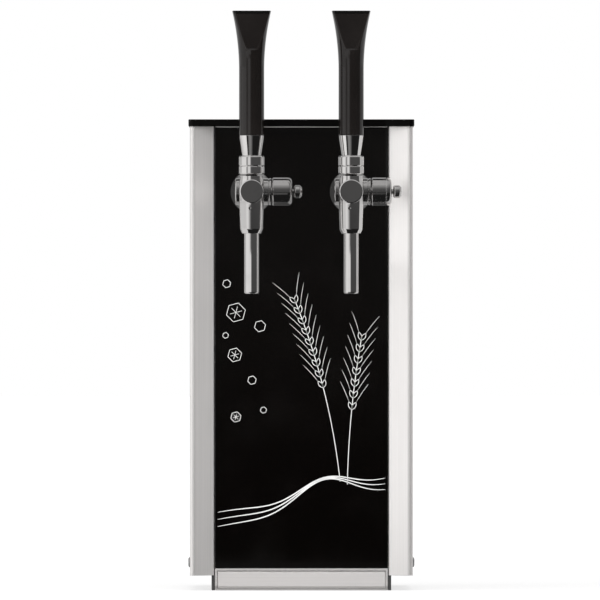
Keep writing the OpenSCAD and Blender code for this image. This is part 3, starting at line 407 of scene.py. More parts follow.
def polished(name, colour, rough, ripple, specular=0.5, plug_z=None):
    """Gloss plastic with hazy patches, worn edges and a broad ripple. Above the height plug_z, if there is
    one, it is a plug of a deeper black."""
    material, shader, place, edge = start_finish(name)
    haze = place.noise(24.0, 4.0).smooth(0.4, 0.8)
    swim = place.noise(34.0, 1.0)
    worn = tuple(min(1.0, c * 1.6 + 0.003) for c in colour)
    tone = (haze * 0.35 + edge * 0.65).between(colour, worn)
    if plug_z:
        height = place.coordinates()[2]
        tone = height.smooth(plug_z - PLUG_SEAM, plug_z + PLUG_SEAM).between(tone, PLUG_BLACK)
    apply_finish(shader, Base_Color=tone, Roughness=rough + 0.04 * haze + 0.1 * edge,
                 Specular_IOR_Level=specular, Normal=swim.bump(ripple, 0.002))
    return material


def moulded(name, dark, light, rough, grain=1400.0, depth=0.08, specular=0.5):
    """Plastic, paint, rubber or foam: a grain in the bump and the roughness, and broad clouds and worn edges
    between the dark colour and the light one."""
    material, shader, place, edge = start_finish(name)
    skin = place.noise(grain, 2.0)
    cloud = place.noise(30.0, 3.0)
    apply_finish(shader, Base_Color=(cloud.smooth(0.3, 0.7) * 0.6 + edge * 0.4).between(dark, light),
                 Roughness=rough + 0.1 * skin + 0.06 * cloud - 0.08 * edge,
                 Specular_IOR_Level=specular, Normal=skin.bump(depth, 0.0004))
    return material


print("helpers ready: polished, moulded")

# %% Plastic and paint finishes
PLUG_DEPTH = 0.0028
fascia_black = polished("fascia_black", (0.0013, 0.0009, 0.0007), 0.04, 0.008)
handle_black = polished("handle_black", (0.007, 0.0056, 0.0051), 0.07, 0.03, specular=0.4,
                        plug_z=box_of("left_handle")[1][2] - PLUG_DEPTH)
lid_black = moulded("lid_black", (0.0007, 0.0005, 0.0005), (0.002, 0.0016, 0.0014), 0.42, specular=0.1)
skid_plastic = moulded("skid_plastic", (0.045, 0.044, 0.044), (0.075, 0.073, 0.073), 0.5)
black_plastic = moulded("black_plastic", (0.012, 0.012, 0.012), (0.03, 0.03, 0.03), 0.4)
dark_plastic = moulded("dark_plastic", (0.05, 0.05, 0.052), (0.09, 0.09, 0.092), 0.42)
white_plastic = moulded("white_plastic", (0.72, 0.72, 0.7), (0.82, 0.82, 0.81), 0.4)
print_white = moulded("print_white", (0.74, 0.74, 0.73), (0.86, 0.86, 0.86), 0.5, grain=2500.0, depth=0.03)
foam = moulded("foam", (0.62, 0.58, 0.46), (0.78, 0.74, 0.62), 0.85, grain=500.0, depth=0.5)
black_paint = moulded("black_paint", (0.01, 0.01, 0.01), (0.025, 0.025, 0.025), 0.3, grain=700.0, depth=0.12)
condenser_paint = moulded("condenser_paint", (0.03, 0.03, 0.032), (0.06, 0.06, 0.062), 0.5,
                          grain=900.0, depth=0.1)
rubber = moulded("rubber", (0.018, 0.018, 0.018), (0.035, 0.035, 0.035), 0.7)
fan_plastic = moulded("fan_plastic", (0.3, 0.3, 0.3), (0.4, 0.4, 0.4), 0.45)
finish_of = {"stainless_sheet": case_steel, "black_lid": lid_black, "black_fascia": fascia_black,
             "skid_plastic": skid_plastic, "screw_steel": screw_steel, "tap_chrome": tap_chrome,
             "handle_black": handle_black, "white_plastic": white_plastic, "foam": foam,
             "cast_aluminium": cast_aluminium, "black_paint": black_paint, "rubber": rubber,
             "condenser_paint": condenser_paint, "fan_plastic": fan_plastic, "dark_plastic": dark_plastic,
             "copper": copper, "black_plastic": black_plastic}
print("finishes by slot:", len(finish_of))

# %% [markdown]
# ## Solids that keep their shape
# The plinth, tray, grate, skids, flat panels and everything inside the case are right as they are. They
# keep their solids and get a finish. A real sheet edge is never knife-sharp, so the ones in sight are
# welded and get a narrow bevel, which catches a line of light.

# %% Carried-over solids
ALONG_X = {"plinth": plinth_steel, "drip_tray": tray_steel, "drip_grate": tray_steel, "floor_pan": tray_steel}
BEVELLED = {"plinth": 0.25, "drip_tray": 0.3, "drip_grate": 0.2, "left_skid": 0.4, "right_skid": 0.4,
            "rear_panel": 0.15, "switch_frame": 0.5, "switch_rocker": 0.6}
WELD_WITHIN = 1e-6
SHARP = np.radians(40)
for name, solid in nodes.items():
    finish = ALONG_X.get(name, finish_of[slots[name]])
    solid.data.materials.clear()
    solid.data.materials.append(finish)
    if name in BEVELLED:
        weld = solid.modifiers.new("weld", "WELD")
        weld.merge_threshold = WELD_WITHIN
        bevel = solid.modifiers.new("edge", "BEVEL")
        bevel.width = BEVELLED[name] * MM
        bevel.segments = 2
        bevel.limit_method = "ANGLE"
        bevel.angle_limit = SHARP
        bevel.harden_normals = True
print("solids finished:", len(nodes), "with bevels:", len(BEVELLED))

# %% [markdown]
# ## The side panels
# Each side is one sheet, folded three times over its height: a flange at the back, the side itself, a
# flange at the front that slants in towards the black panel, and a short lip. A box with bevels would lose
# the even bend. So the fold line is drawn in plan with true arcs, and a small rounded section of the sheet,
# from its outer to its inner face, is carried along it. The lip is notched at both ends.

# %% Fold a sheet
SHEET, SHEET_SOFT, BEND = 1.2, 0.3, 3.0


def filleted(corners, radius, steps=9):
    """Path through the corners with arcs: each arc starts radius*tan(turn/2) before its corner and turns
    about a centre one radius to the side. Returns the points and the directions, both in plan."""
    corners = np.asarray(corners, float)
    edge = np.diff(corners, axis=0)
    edge /= np.linalg.norm(edge, axis=1, keepdims=True)
    a, b, corner = edge[:-1], edge[1:], corners[1:-1]
    turn = np.arctan2(a[:, 0] * b[:, 1] - a[:, 1] * b[:, 0], (a * b).sum(1))
    start = corner - a * (radius * np.tan(abs(turn) / 2))[:, None]
    left = np.sign(turn)[:, None] * np.stack([-a[:, 1], a[:, 0]], 1)
    angle = turn[:, None] * np.linspace(0, 1, steps)
    cos, sin = np.cos(angle), np.sin(angle)

    def swung(v):
        return np.stack([cos * v[:, :1] - sin * v[:, 1:], sin * v[:, :1] + cos * v[:, 1:]], -1)

    points = (start + radius * left)[:, None] + swung(-radius * left)
    path = np.vstack([corners[:1], points.reshape(-1, 2), corners[-1:]])
    return path, np.vstack([edge[:1], swung(a).reshape(-1, 2), edge[-1:]])


def sheet_section(steps=4):
    """Section of a sheet as (depth into the sheet, share of the height, offset in mm): a rectangle whose four
    corners are quarter circles, taken from the lower edge up the outer face and down the inner one."""
    q = np.linspace(0, np.pi / 2, steps)
    fall, rise = SHEET_SOFT * (1 - np.sin(q)), SHEET_SOFT * (1 - np.cos(q))
    depth = np.concatenate([fall, rise, SHEET - fall, SHEET - rise])
    share = np.repeat([0.0, 1.0, 1.0, 0.0], steps)
    offset = np.concatenate([rise, -fall, -rise, fall])
    return depth, share, offset


def folded(path, way, low, high):
    """Carries the sheet's section along the path: point = path + depth*left, at the height
    low + share*(high - low) + offset."""
    depth, share, offset = sheet_section()
    left = np.stack([-way[:, 1], way[:, 0]], 1)
    plan = path[:, None] + depth[None, :, None] * left[:, None]
    z = low[:, None] + share[None] * (high - low)[:, None] + offset[None]
    return MM * np.concatenate([plan, z[..., None]], -1)


print("helpers ready: filleted, sheet_section, folded")

# %% Side panels
SIDES = ("left", "right")
SLANT = np.tan(np.radians(32))
REAR_FLANGE, LIP, LIP_GAP = 14.0, 10.0, 0.3
LIP_NOTCH_LOW, LIP_NOTCH_TOP, NOTCH_RUN = 16.0, 9.2, 0.2
MIRROR_X = np.array([-1, 1, 1])
lip_x = box_of("front_panel")[1][0] / MM + LIP_GAP
for side in SIDES:
    low_corner, high_corner = (corner / MM for corner in box_of(f"{side}_side_panel"))
    outer = max(abs(low_corner[0]), abs(high_corner[0]))
    half_d, z_low, z_high = high_corner[1], low_corner[2], high_corner[2]
    flange = outer - lip_x
    lip_y = -half_d + flange * SLANT
    notch_y = lip_y + BEND
    path, way = filleted([(-outer + REAR_FLANGE, half_d), (-outer, half_d), (-outer, -half_d),
                          (-lip_x, lip_y), (-lip_x, notch_y), (-lip_x, notch_y + NOTCH_RUN),
                          (-lip_x, lip_y + LIP)], BEND)
    on_lip = path[:, 0] > -lip_x - 0.01
    notched = on_lip & (path[:, 1] > notch_y + NOTCH_RUN / 2)
    low = np.where(notched, z_low + LIP_NOTCH_LOW, z_low)
    high = np.where(notched, z_high - LIP_NOTCH_TOP, z_high)
    points = folded(path, way, low, high)
    if side == "right":
        points = points * MIRROR_X
    ends = [np.stack([points[k], np.broadcast_to(points[k].mean(0), points[k].shape)]) for k in (0, -1)]
    new_piece(f"{side}_folded_side", [(points, 0.0)] + [(end, 0.0) for end in ends],
              "case", case_steel, (f"{side}_side_panel",))
    print(side, "side folded through", len(path), "places, flange", round(flange, 1), "mm wide")

# %% [markdown]
# ## Slabs with soft edges: the lid and the black panel
# A slab could be a cube with a bevel. Here it is a rounded outline, drawn in smaller and smaller copies:
# up its side, round its edge and in over its face to the middle. The edge is then as soft as wished, and
# its weight can drive wear. The lid reaches just past the case and the panel lies between the flanges.

# %% Slab helper
EDGE_STEPS, CORNER_STEPS = 6, 10
SHARPEST = 0.02


def slab(centre, half, corner, thickness, soft, axes):
    """Rows of a rounded rectangle with half sizes `half`: row k is drawn in by inset(k), shrunk by shrink(k)
    and lies at height(k). axes says which world axes take width, depth and height."""
    q = np.linspace(0, np.pi / 2, EDGE_STEPS)
    rise, fall = soft * (1 - np.cos(q)), soft * (1 - np.sin(q))
    inset = np.concatenate([[soft], fall, rise, [soft]])
    height = np.concatenate([[0], rise, thickness - fall, [thickness]])
    shrink = np.concatenate([[0], np.ones(2 * EDGE_STEPS), [0]])
    edge = np.concatenate([[0], np.sin(2 * q), np.sin(2 * q), [0]])
    angle = (np.arange(4)[:, None] * 90 + np.linspace(0, 90, CORNER_STEPS)).reshape(-1) * np.pi / 180
    sign = np.repeat([[1, 1], [-1, 1], [-1, -1], [1, -1]], CORNER_STEPS, axis=0)
    round_r = np.maximum(corner - inset, SHARPEST)[:, None, None]
    arms = np.stack([np.cos(angle), np.sin(angle)], -1)
    flat = (np.asarray(half) - inset[:, None])[:, None] * sign - round_r * sign + round_r * arms
    points = np.empty(flat.shape[:2] + (3,))
    points[..., axes] = np.concatenate([flat * shrink[:, None, None],
                                        np.broadcast_to(height[:, None, None], flat.shape[:2] + (1,))], -1)
    return np.asarray(centre) + MM * points, edge[:, None]


print("helper ready: slab")

# %% Lid and black panel
LID_T, LID_CORNER, LID_SOFT = 6.0, 4.3, 0.7
PANEL_CORNER, PANEL_SOFT = 1.0, 0.5
low, high = box_of("lid")
middle = (low + high) / 2
lid_top = slab((middle[0], middle[1], high[2] - LID_T * MM), (high - low)[:2] / 2 / MM,
               LID_CORNER, LID_T, LID_SOFT, [0, 1, 2])
lid = new_piece("lid_slab", [lid_top], "case", lid_black, ("lid",))
low, high = box_of("front_fascia")
fascia_y = low[1]
middle = (low + high) / 2
half = (high - low)[[0, 2]] / 2 / MM
front = slab((middle[0], fascia_y, middle[2]), half, PANEL_CORNER, (high - low)[1] / MM, PANEL_SOFT,
             [0, 2, 1])
panel = new_piece("black_panel", [front], "case", fascia_black, ("front_fascia",))
for piece in (lid, panel):
    print(piece.name, "in mm:", np.round(np.array(piece.dimensions) / MM, 1).tolist())

# %% [markdown]
# ## The print on the black panel
# The front carries thin white line work. A texture would need an image or a UV map, and it would blur up
# close. So each line is a ribbon of ink with real thickness, a few hundredths of a millimetre, laid along a
# path. The motifs are common ones: ears of barley, flowing lines like poured beer, and ice crystals.

# %% Ink ribbons
INK = 0.04
INK_ACROSS = np.array([-0.5, -0.42, 0.42, 0.5])
INK_DEPTH = np.array([INK, -INK, -INK, INK])


def ribbons(paths, width):
    """Lays the profile (-w/2, in), (-0.42w, out), (0.42w, out), (w/2, in) across each path, square to its
    direction, and closes both ends. paths is [line, point, (x, z)] in mm; width is for each point, or for
    all."""
    paths = np.asarray(paths, float)
    way = np.gradient(paths, axis=1)
    way /= np.maximum(np.linalg.norm(way, axis=-1, keepdims=True), 1e-9)
    across = np.stack([-way[..., 1], way[..., 0]], -1)
    width = np.broadcast_to(width, paths.shape[:2])
    flat = paths[:, :, None] + (width[..., None] * INK_ACROSS)[..., None] * across[:, :, None]
    depth = np.broadcast_to(INK_DEPTH, flat.shape[:3])
    points = np.stack([flat[..., 0] * MM, fascia_y + depth * MM, flat[..., 1] * MM], -1)
    middle = np.broadcast_to(points.mean(2, keepdims=True), points.shape)
    points = np.concatenate([middle[:, :1], points, middle[:, -1:]], 1)
    return [(line, 0.0) for line in points]


def tapered(count, widest, power):
    """Widths that swell from nothing to the widest and back: widest * sin(pi t)^power."""
    return widest * np.maximum(np.sin(np.pi * np.linspace(0.01, 0.99, count)), 0) ** power


print("helpers ready: ribbons, tapered")

# %% Ears of barley
STEM_POINTS, SEED_POINTS, HAIR_POINTS = 60, 33, 24
STEM_W, SEED_W, HAIR_W = 0.75, 0.6, 0.42
SEED_HALF, SEED_LONG, SEED_FOOT, SEED_LEAN = 1.5, 3.5, 0.5, 24
SEEDS_FROM, SEEDS_TO = 0.5, 0.97
HAIR_FROM, HAIR_TO, HAIR_BEND, HAIR_TAPER = 7.2, 27, 1.6, 0.5


def barley_ear(root, length, lean, bend, grains):
    """An ear: a stem whose slant grows from lean by bend along it, pairs of seed outlines
    a(t) = (half*sin t*|sin t|, foot + long*(1 - cos t)) beside its upper part, and above each seed a long
    hair that bends outwards with the square of its length."""
    s = np.linspace(0, 1, STEM_POINTS)
    slant = np.radians(lean + bend * s)
    climb = np.stack([np.cumsum(np.sin(slant)), np.cumsum(np.cos(slant))], -1)
    stem = np.asarray(root) + length * climb / STEM_POINTS
    spot = np.linspace(SEEDS_FROM, SEEDS_TO, grains)
    base = np.stack([np.interp(spot, s, stem[:, 0]), np.interp(spot, s, stem[:, 1])], -1)
    base = np.concatenate([base, base])
    hand = np.repeat([-1.0, 1.0], grains)
    turn = np.radians(np.tile(lean + bend * spot, 2) + SEED_LEAN * hand)
    t = np.linspace(0, 2 * np.pi, SEED_POINTS)
    seed = np.stack([SEED_HALF * np.sin(t) * np.abs(np.sin(t)), SEED_FOOT + SEED_LONG * (1 - np.cos(t))], -1)
    hair_x = HAIR_BEND * hand[:, None] * np.linspace(0, 1, HAIR_POINTS) ** 2
    hair_z = np.broadcast_to(np.linspace(HAIR_FROM, HAIR_TO, HAIR_POINTS), hair_x.shape)

    def leaned(shape):
        cos, sin = np.cos(turn)[:, None], np.sin(turn)[:, None]
        x, z = shape[..., 0], shape[..., 1]
        return base[:, None] + np.stack([cos * x + sin * z, -sin * x + cos * z], -1)

    seeds = leaned(np.broadcast_to(seed, (2 * grains,) + seed.shape))
    hairs = leaned(np.stack([hair_x, hair_z], -1))
    hair_w = tapered(HAIR_POINTS, HAIR_W, HAIR_TAPER)
    return ribbons(stem[None], STEM_W) + ribbons(seeds, SEED_W) + ribbons(hairs, hair_w)


tall_ear = barley_ear((34, 92), 168, -6, -16, 9)
short_ear = barley_ear((40, 90), 132, 1, 9, 7)
print("ribbons in the ears:", len(tall_ear), "and", len(short_ear))

# %% Flowing lines
FLOW_POINTS, FLOW_W, FLOW_TAPER = 160, 1.2, 0.35
FLOW_HALF, FLOW_Z, FLOW_RISE = 73, 62, 0.22
CREST_X, CREST_HALF, CREST_H = 18, 46, 15
WAVE, WAVE_SHIFT = 26, 0.7
SPREAD, PINCH = 5.5, 1.15
x = np.linspace(-FLOW_HALF, FLOW_HALF, FLOW_POINTS)
crest = np.exp(-((x - CREST_X) / CREST_HALF) ** 2)
middle_z = FLOW_Z + FLOW_RISE * (x + FLOW_HALF) + CREST_H * np.sin(x / WAVE + WAVE_SHIFT) * crest
flow = np.stack([np.stack([x, middle_z + SPREAD * k * (PINCH - crest)], -1) for k in (-1, 0, 1)])
flow_lines = ribbons(flow, tapered(FLOW_POINTS, FLOW_W, FLOW_TAPER))
print("flowing lines:", len(flow_lines))

# %% Ice crystals and the whole print
CRYSTALS = np.array([(-57, 242, 8.5), (-36, 230, 5.0), (-58, 205, 6.2), (-65, 267, 3.6), (-43, 183, 3.8),
                     (-66, 222, 2.6), (-33, 157, 2.8), (-57, 151, 4.6)])
WITH_ARMS = [0, 2, 7]
ARM_SHARE, CRYSTAL_TURN = 0.62, 15
CRYSTAL_W, ARM_W = 0.55, 0.45
spots, sizes = CRYSTALS[:, :2], CRYSTALS[:, 2]
corner = np.radians(np.arange(7) * 60 + CRYSTAL_TURN)
ring = np.stack([np.cos(corner), np.sin(corner)], -1)
hexes = spots[:, None] + sizes[:, None, None] * ring
sides = np.stack([hexes[:, :-1], hexes[:, 1:]], 2).reshape(-1, 2, 2)
reach = ARM_SHARE * sizes[WITH_ARMS, None, None] * ring[:3]
arms = np.stack([spots[WITH_ARMS, None] - reach, spots[WITH_ARMS, None] + reach], 2).reshape(-1, 2, 2)
ink = flow_lines + tall_ear + short_ear + ribbons(sides, CRYSTAL_W) + ribbons(arms, ARM_W)
printed = new_piece("front_line_work", ink, "case", print_white)
print("ink ribbons:", len(ink), "faces:", len(printed.data.polygons))

# %% [markdown]
# ## The taps
# A tap is a small stack of turned brass, plated with chrome: a rosette on the panel, a cross barrel with
# the flow knob, the upright body with its round front cap, and the spout. A lathe makes nearly all of it,
# so here each is a profile turned about its own axis. Only the tongue that carries the lever is milled: a
# plate with a round top. Each outer corner is slightly rounded, because plating never leaves a sharp one,
# and the thin bright lines on real chrome come from these corners.

# %% Profiles of the fixed pieces
# A profile is (radius, distance along the axis) in mm, and its _SOFT list rounds its inner corners.
ROSETTE = [(10.6, 47), (14.1, 47), (18.4, 54.5), (18.4, 56), (10.6, 56)]
BARREL = [(0, -14.4), (10.9, -14.4), (11.7, -13.6), (11.7, 14.3), (11.3, 14.6), (11.3, 15.2), (11.7, 15.5),
          (11.7, 17.1), (0, 17.1)]
BARREL_SOFT = [0.3, 0.4, 0.3, 0.15, 0.15, 0.3, 0.4]
NECK = [(0, 14.5), (9.5, 14.5), (9.5, 30), (0, 30)]
SHANK = [(0, 30), (10.4, 30), (10.4, 85), (0, 85)]
BOSS = [(0, -18.5), (10.4, -18.5), (10.4, 0), (0, 0)]
FRONT_NECK = [(0, 0), (9.5, 0), (9.5, 14.5), (0, 14.5)]
CAP = [(0, -22), (9.7, -22), (10.4, -21.3), (10.4, -18.5), (0, -18.5)]
CAP_SOFT = [0.3, 0.3, 0.2]
SPOUT = [(4.6, -28.2), (6.4, -28.2), (6.4, -87.7), (5.6, -88.7), (4.6, -88.7)]
VENT = [(0.85, -10.0), (0.85, -10.85), (1.15, -11.0), (1.5, -10.8), (1.6, -9.6), (0.85, -9.6)]
# A black disc inside the vent's bore stands for the dark within it: painted shade.
VENT_SHADE_DISC = [(0, -10.4), (0.95, -10.4), (0.95, -9.4), (0, -9.4)]
VENT_AT = np.array([-1.5, 0, -14.5])
VENT_SEGMENTS = 32
print("profiles: rosette, barrel, neck, shank, boss, front neck, cap, spout, vent")

# %% The upright body and its tongue
# The lever's collar swings over the body, so the body's top is a bowl about the pivot, just clear of the
# collar's lower corner.
PIVOT_Z, COLLAR_R, COLLAR_DROP, BOWL_CLEAR = 21.9, 11.0, 6.2, 0.3
BOWL_RIM_R, BOWL_STEPS = 9.9, 14
BOWL_R = np.hypot(COLLAR_R, COLLAR_DROP) + BOWL_CLEAR
bowl = np.linspace(np.arcsin(BOWL_RIM_R / BOWL_R), 0, BOWL_STEPS)
UPRIGHT = [(0, -36.5), (8.2, -36.5), (9.8, -33.1), (10.7, -9), (10.7, 7), (BOWL_RIM_R, 12)]
UPRIGHT += list(zip(BOWL_R * np.sin(bowl), PIVOT_Z - BOWL_R * np.cos(bowl)))
UPRIGHT_SOFT = [0.5, 0.7, 2.5, 2.5, 1.0, 0.25] + [0.1] * (BOWL_STEPS - 2)
TONGUE_R, TONGUE_FOOT, TONGUE_HALF = 2.8, 6, 5


def tongue_points():
    """Slices across the width: an arch in depth and height, two sides with a half circle of radius TONGUE_R
    about the pivot. The first and last slices shrink to the arch's middle, which closes the ends."""
    u = np.linspace(0, np.pi, 16)
    depth = np.concatenate([[TONGUE_R], TONGUE_R * np.cos(u), [-TONGUE_R]])
    height = np.concatenate([[TONGUE_FOOT], PIVOT_Z + TONGUE_R * np.sin(u), [TONGUE_FOOT]])
    arch = np.stack([depth, height], -1)
    slices = ((-TONGUE_HALF, 0), (-TONGUE_HALF, 1), (TONGUE_HALF, 1), (TONGUE_HALF, 0))
    return np.stack([np.concatenate([np.full((len(arch), 1), x), arch * k + (1 - k) * arch.mean(0)], -1)
                     for x, k in slices])


tongue = tongue_points()
print("bowl radius:", round(BOWL_R, 1), "mm, tongue:", tongue.shape[:2])

# %% Turn the fixed pieces of each tap
tap_at = {}
for side in SIDES:
    tilt, flow_turn = joints[f"{side}_lever_tilt"]["pos_m"], joints[f"{side}_flow_turn"]["pos_m"]
    at = np.array([tilt[0], tilt[1], flow_turn[2]])
    vent_at = at + VENT_AT * MM
    rosette = turned(ROSETTE, at, "Y", 0.6, ring=True)
    new_piece(f"{side}_rosette_turned", [rosette], "case", knob_nickel, (f"{side}_rosette",))
    housing = [turned(BARREL, flow_turn, "X", BARREL_SOFT), turned(NECK, at, "Y", 0.3),
               turned(SHANK, at, "Y", 0.3)]
    new_piece(f"{side}_flow_housing", housing, "case", knob_nickel, (f"{side}_flow_body",))
    # The black disc in the vent's bore is painted shade.
    shade_disc = turned(VENT_SHADE_DISC, vent_at, "Y", 0.05, VENT_SEGMENTS)
    new_piece(f"{side}_vent_hole", [shade_disc], "case", black_plastic)
    upright = [turned(UPRIGHT, at, "Z", UPRIGHT_SOFT), turned(BOSS, at, "Y", 0.25),
               turned(FRONT_NECK, at, "Y", 0.25), (at + MM * tongue, 0.0),
               turned(VENT, vent_at, "Y", 0.12, VENT_SEGMENTS, ring=True)]
    new_piece(f"{side}_upright", upright, "case", tap_chrome, (f"{side}_tap_body",))
    cap = turned(CAP, at, "Y", CAP_SOFT)
    new_piece(f"{side}_cap_turned", [cap], "case", tap_chrome, (f"{side}_front_cap",))
    spout = turned(SPOUT, at, "Z", 0.35, ring=True)
    new_piece(f"{side}_spout_turned", [spout], "case", tap_chrome, (f"{side}_spout",))
    tap_at[side] = at
    print(side, "tap at", np.round(at / MM, 1).tolist())

# %% [markdown]
# ## The flow knobs and levers
# These turn and tilt, so each is a piece of its own that rides on its own body. The knob has a grip with a
# full round edge and a small button at its end. The lever is a collar with a groove, which is hollow below
# over the tap's tongue, and a ferrule that opens upwards to the handle.

# %% Turn the moving pieces of each tap
KNOB = [(0, 6.8), (4, 6.8), (4, 17.9), (11.4, 17.9), (12.2, 18.7), (12.2, 35.3), (2.4, 35.3), (2.4, 36.5),
        (4.3, 36.5), (5.7, 37.9), (5.7, 41.9), (3.7, 43.9), (0, 43.9)]
KNOB_SOFT = [0.2, 0.2, 0.3, 0.4, 4.4, 0.4, 0.3, 0.3, 0.5, 0.6, 0.6]
KNOB_SEGMENTS = 112
COLLAR = [(0, 26.5), (9.2, 26.5), (9.2, 14.9), (10.2, 14.9), (11, 15.7), (11, 21.4), (10.4, 22.1),
          (11, 22.8), (11, 30), (10, 31), (8.05, 31), (10.75, 48.7), (0, 48.7)]
COLLAR_SOFT = [0.3, 0.2, 0.3, 0.4, 0.15, 0.15, 0.15, 0.5, 0.5, 0.5, 0.2]
for side in SIDES:
    knob = turned(KNOB, joints[f"{side}_flow_turn"]["pos_m"], "X", KNOB_SOFT, KNOB_SEGMENTS)
    new_piece(f"{side}_knob_turned", [knob], f"{side}_flow_control", knob_nickel,
              (f"{side}_flow_knob",))
    collar = turned(COLLAR, tap_at[side], "Z", COLLAR_SOFT)
    new_piece(f"{side}_collar_turned", [collar], f"{side}_tap_lever", tap_chrome,
              (f"{side}_lever",))
print("turned for each tap: knob and collar")

# %% [markdown]
# ## The handles
# A handle is a polished black grip that flares towards the top, where its front is cut away in a leaning
# flat. Cutting a turned body with a boolean leaves a ragged edge. In polar form the flat is simply the
# distance d(z)/cos(u) to a plane, and the handle is the smaller of that and the turned radius R(z). A smooth
# minimum of the two gives the moulding its softly rounded edge all the way round the flat.

# %% Handles as a polar grid
GRIP_Z, GRIP_LEN, GRIP_R, TOP_R, FLARE = 48.7, 108.3, 10.9, 17.0, 52.0
TOP_Z = GRIP_Z + GRIP_LEN
FOOT_SOFT, FOOT_RUN, TOP_SOFT = 0.6, 4, 0.8
CREASE_Z, CREASE_RUN, CREASE_OUT = TOP_Z - 0.66 * FLARE, 1.4, 6
FLAT_LEAN, FLAT_DEPTH, FLAT_BLEND = np.tan(np.radians(8)), 0.4, 0.7
GRIP_ROWS, ROUND_STEPS, GRIP_SEGMENTS = 150, 8, 160


def handle_points(at):
    """Radius r(u, z) = soft minimum of R(z) and d(z)/cos u about the front; R grows with the square of the
    height in the flare; d leans back by 8 degrees above the crease. Rows run up the side and in over the
    top."""
    q = np.linspace(0, np.pi / 2, ROUND_STEPS)[1:]
    z = np.concatenate([[GRIP_Z, GRIP_Z], GRIP_Z + FOOT_SOFT * np.sin(q),
                        np.linspace(GRIP_Z + FOOT_RUN, TOP_Z - TOP_SOFT, GRIP_ROWS),
                        TOP_Z - TOP_SOFT + TOP_SOFT * np.sin(q), [TOP_Z, TOP_Z, TOP_Z]])
    inset = np.concatenate([[FOOT_SOFT, FOOT_SOFT], FOOT_SOFT * (1 - np.sin(q)), np.zeros(GRIP_ROWS),
                            TOP_SOFT * (1 - np.cos(q)), [TOP_SOFT, TOP_SOFT, TOP_SOFT]])
    shrink = np.concatenate([[0], np.ones(len(z) - 4), [0.85, 0.4, 0]])
    rise = np.clip((z - (TOP_Z - FLARE)) / FLARE, 0, 1)
    body = GRIP_R + (TOP_R - GRIP_R) * rise ** 2
    above = np.clip((z - CREASE_Z) / CREASE_RUN + 0.5, 0, 1)
    above = above * above * (3 - 2 * above)
    plane = (GRIP_R - FLAT_DEPTH) - np.maximum(z - CREASE_Z, 0) * FLAT_LEAN + CREASE_OUT * (1 - above)
    u = np.linspace(0, 2 * np.pi, GRIP_SEGMENTS, endpoint=False)
    facing = np.maximum(-np.sin(u), 1e-3)
    flat = plane[:, None] / facing[None]
    gap = np.clip(0.5 + 0.5 * (flat - body[:, None]) / FLAT_BLEND, 0, 1)
    r = flat * (1 - gap) + body[:, None] * gap - FLAT_BLEND * gap * (1 - gap)
    worn = np.clip(4 * gap * (1 - gap), 0, 1) * above[:, None]
    r = (r - inset[:, None]) * shrink[:, None]
    ring = np.stack([np.cos(u), np.sin(u)], -1)
    points = np.concatenate([r[..., None] * ring, np.broadcast_to(z[:, None, None], r.shape + (1,))], -1)
    return np.asarray(at) + MM * points, worn


for side in SIDES:
    handle = new_piece(f"{side}_grip", [handle_points(tap_at[side])], f"{side}_tap_lever",
                       handle_black, (f"{side}_handle",))
    print(side, "handle:", len(handle.data.polygons), "faces")

# %% [markdown]
# ## Screws
# Four pan-headed screws hold the sides at their foot and six hold the back. A cylinder would look
# blank up close. The head is a height over a disc: a low dome, less a cross-shaped recess that deepens
# towards the middle.

# %% Screw heads
HEAD_SEGMENTS, CROSS_ROWS, RIM_ROWS = 96, 22, 10
CROSS_TO, RIM_FROM = 0.62, 0.66
CROSS_W, CROSS_LEN, CROSS_DEPTH, DOME_FALL = 0.12, 0.58, 0.55, 0.55
SIDE_HEAD_R, SIDE_HEAD_H, REAR_HEAD_R, REAR_HEAD_H = 4.35, 1.7, 3.4, 1.6


def screw_head(seat, axis, facing, head_r, head_h):
    """Height over the disc: dome h(r) = H*(1 - 0.55*(r/R)^6), less the cross, where |x| or |y| is narrow.
    Rows lie closer over the cross, and the last ones go down the rim and in under the head."""
    r = np.concatenate([np.linspace(0, CROSS_TO, CROSS_ROWS), np.linspace(RIM_FROM, 1, RIM_ROWS)]) * head_r
    u = np.linspace(0, 2 * np.pi, HEAD_SEGMENTS, endpoint=False)
    x, y = r[:, None] * np.cos(u), r[:, None] * np.sin(u)
    narrow = np.minimum(abs(x), abs(y)) / (CROSS_W * head_r)
    long = np.maximum(abs(x), abs(y)) / (CROSS_LEN * head_r)
    cut = np.clip(1.6 - narrow, 0, 1) * np.clip((1.0 - long) * 5, 0, 1)
    h = head_h * (1 - DOME_FALL * (r[:, None] / head_r) ** 6) - CROSS_DEPTH * head_h * cut
    foot = np.zeros((2, HEAD_SEGMENTS))
    x, y, h = np.vstack([x, x[-1:], foot[:1]]), np.vstack([y, y[-1:], foot[:1]]), np.vstack([h, foot])
    side, up, along = AXES[axis]
    points = x[..., None] * side + y[..., None] * up + h[..., None] * along * facing
    return np.asarray(seat) + MM * points, 0.0


half_w, half_d = side_high[:2]
low, high = box_of("side_screws")
heads = [screw_head((s * half_w, y, (low[2] + high[2]) / 2), "X", s, SIDE_HEAD_R, SIDE_HEAD_H)
         for s in (-1, 1) for y in (low[1] + SIDE_HEAD_R * MM, high[1] - SIDE_HEAD_R * MM)]
new_piece("side_screw_heads", heads, "case", screw_steel, ("side_screws",))
low, high = box_of("rear_screws")
inset = REAR_HEAD_R * MM
back_heads = [screw_head((x, half_d, z), "Y", 1, REAR_HEAD_R, REAR_HEAD_H)
              for x in (low[0] + inset, high[0] - inset)
              for z in np.linspace(low[2] + inset, high[2] - inset, 3)]
new_piece("rear_screw_heads", back_heads, "case", screw_steel, ("rear_screws",))
print("screw heads:", len(heads), "on the sides,", len(back_heads), "on the back")

# %% [markdown]
# ## Fittings on the back
# The back has two beer inlets, an air outlet and the gland of the supply cord. They are turned like the
# taps: the gland in black plastic, the others in dark grey. The thermostat's dial is a polar grid again,
# because flutes are only a wave in its radius.

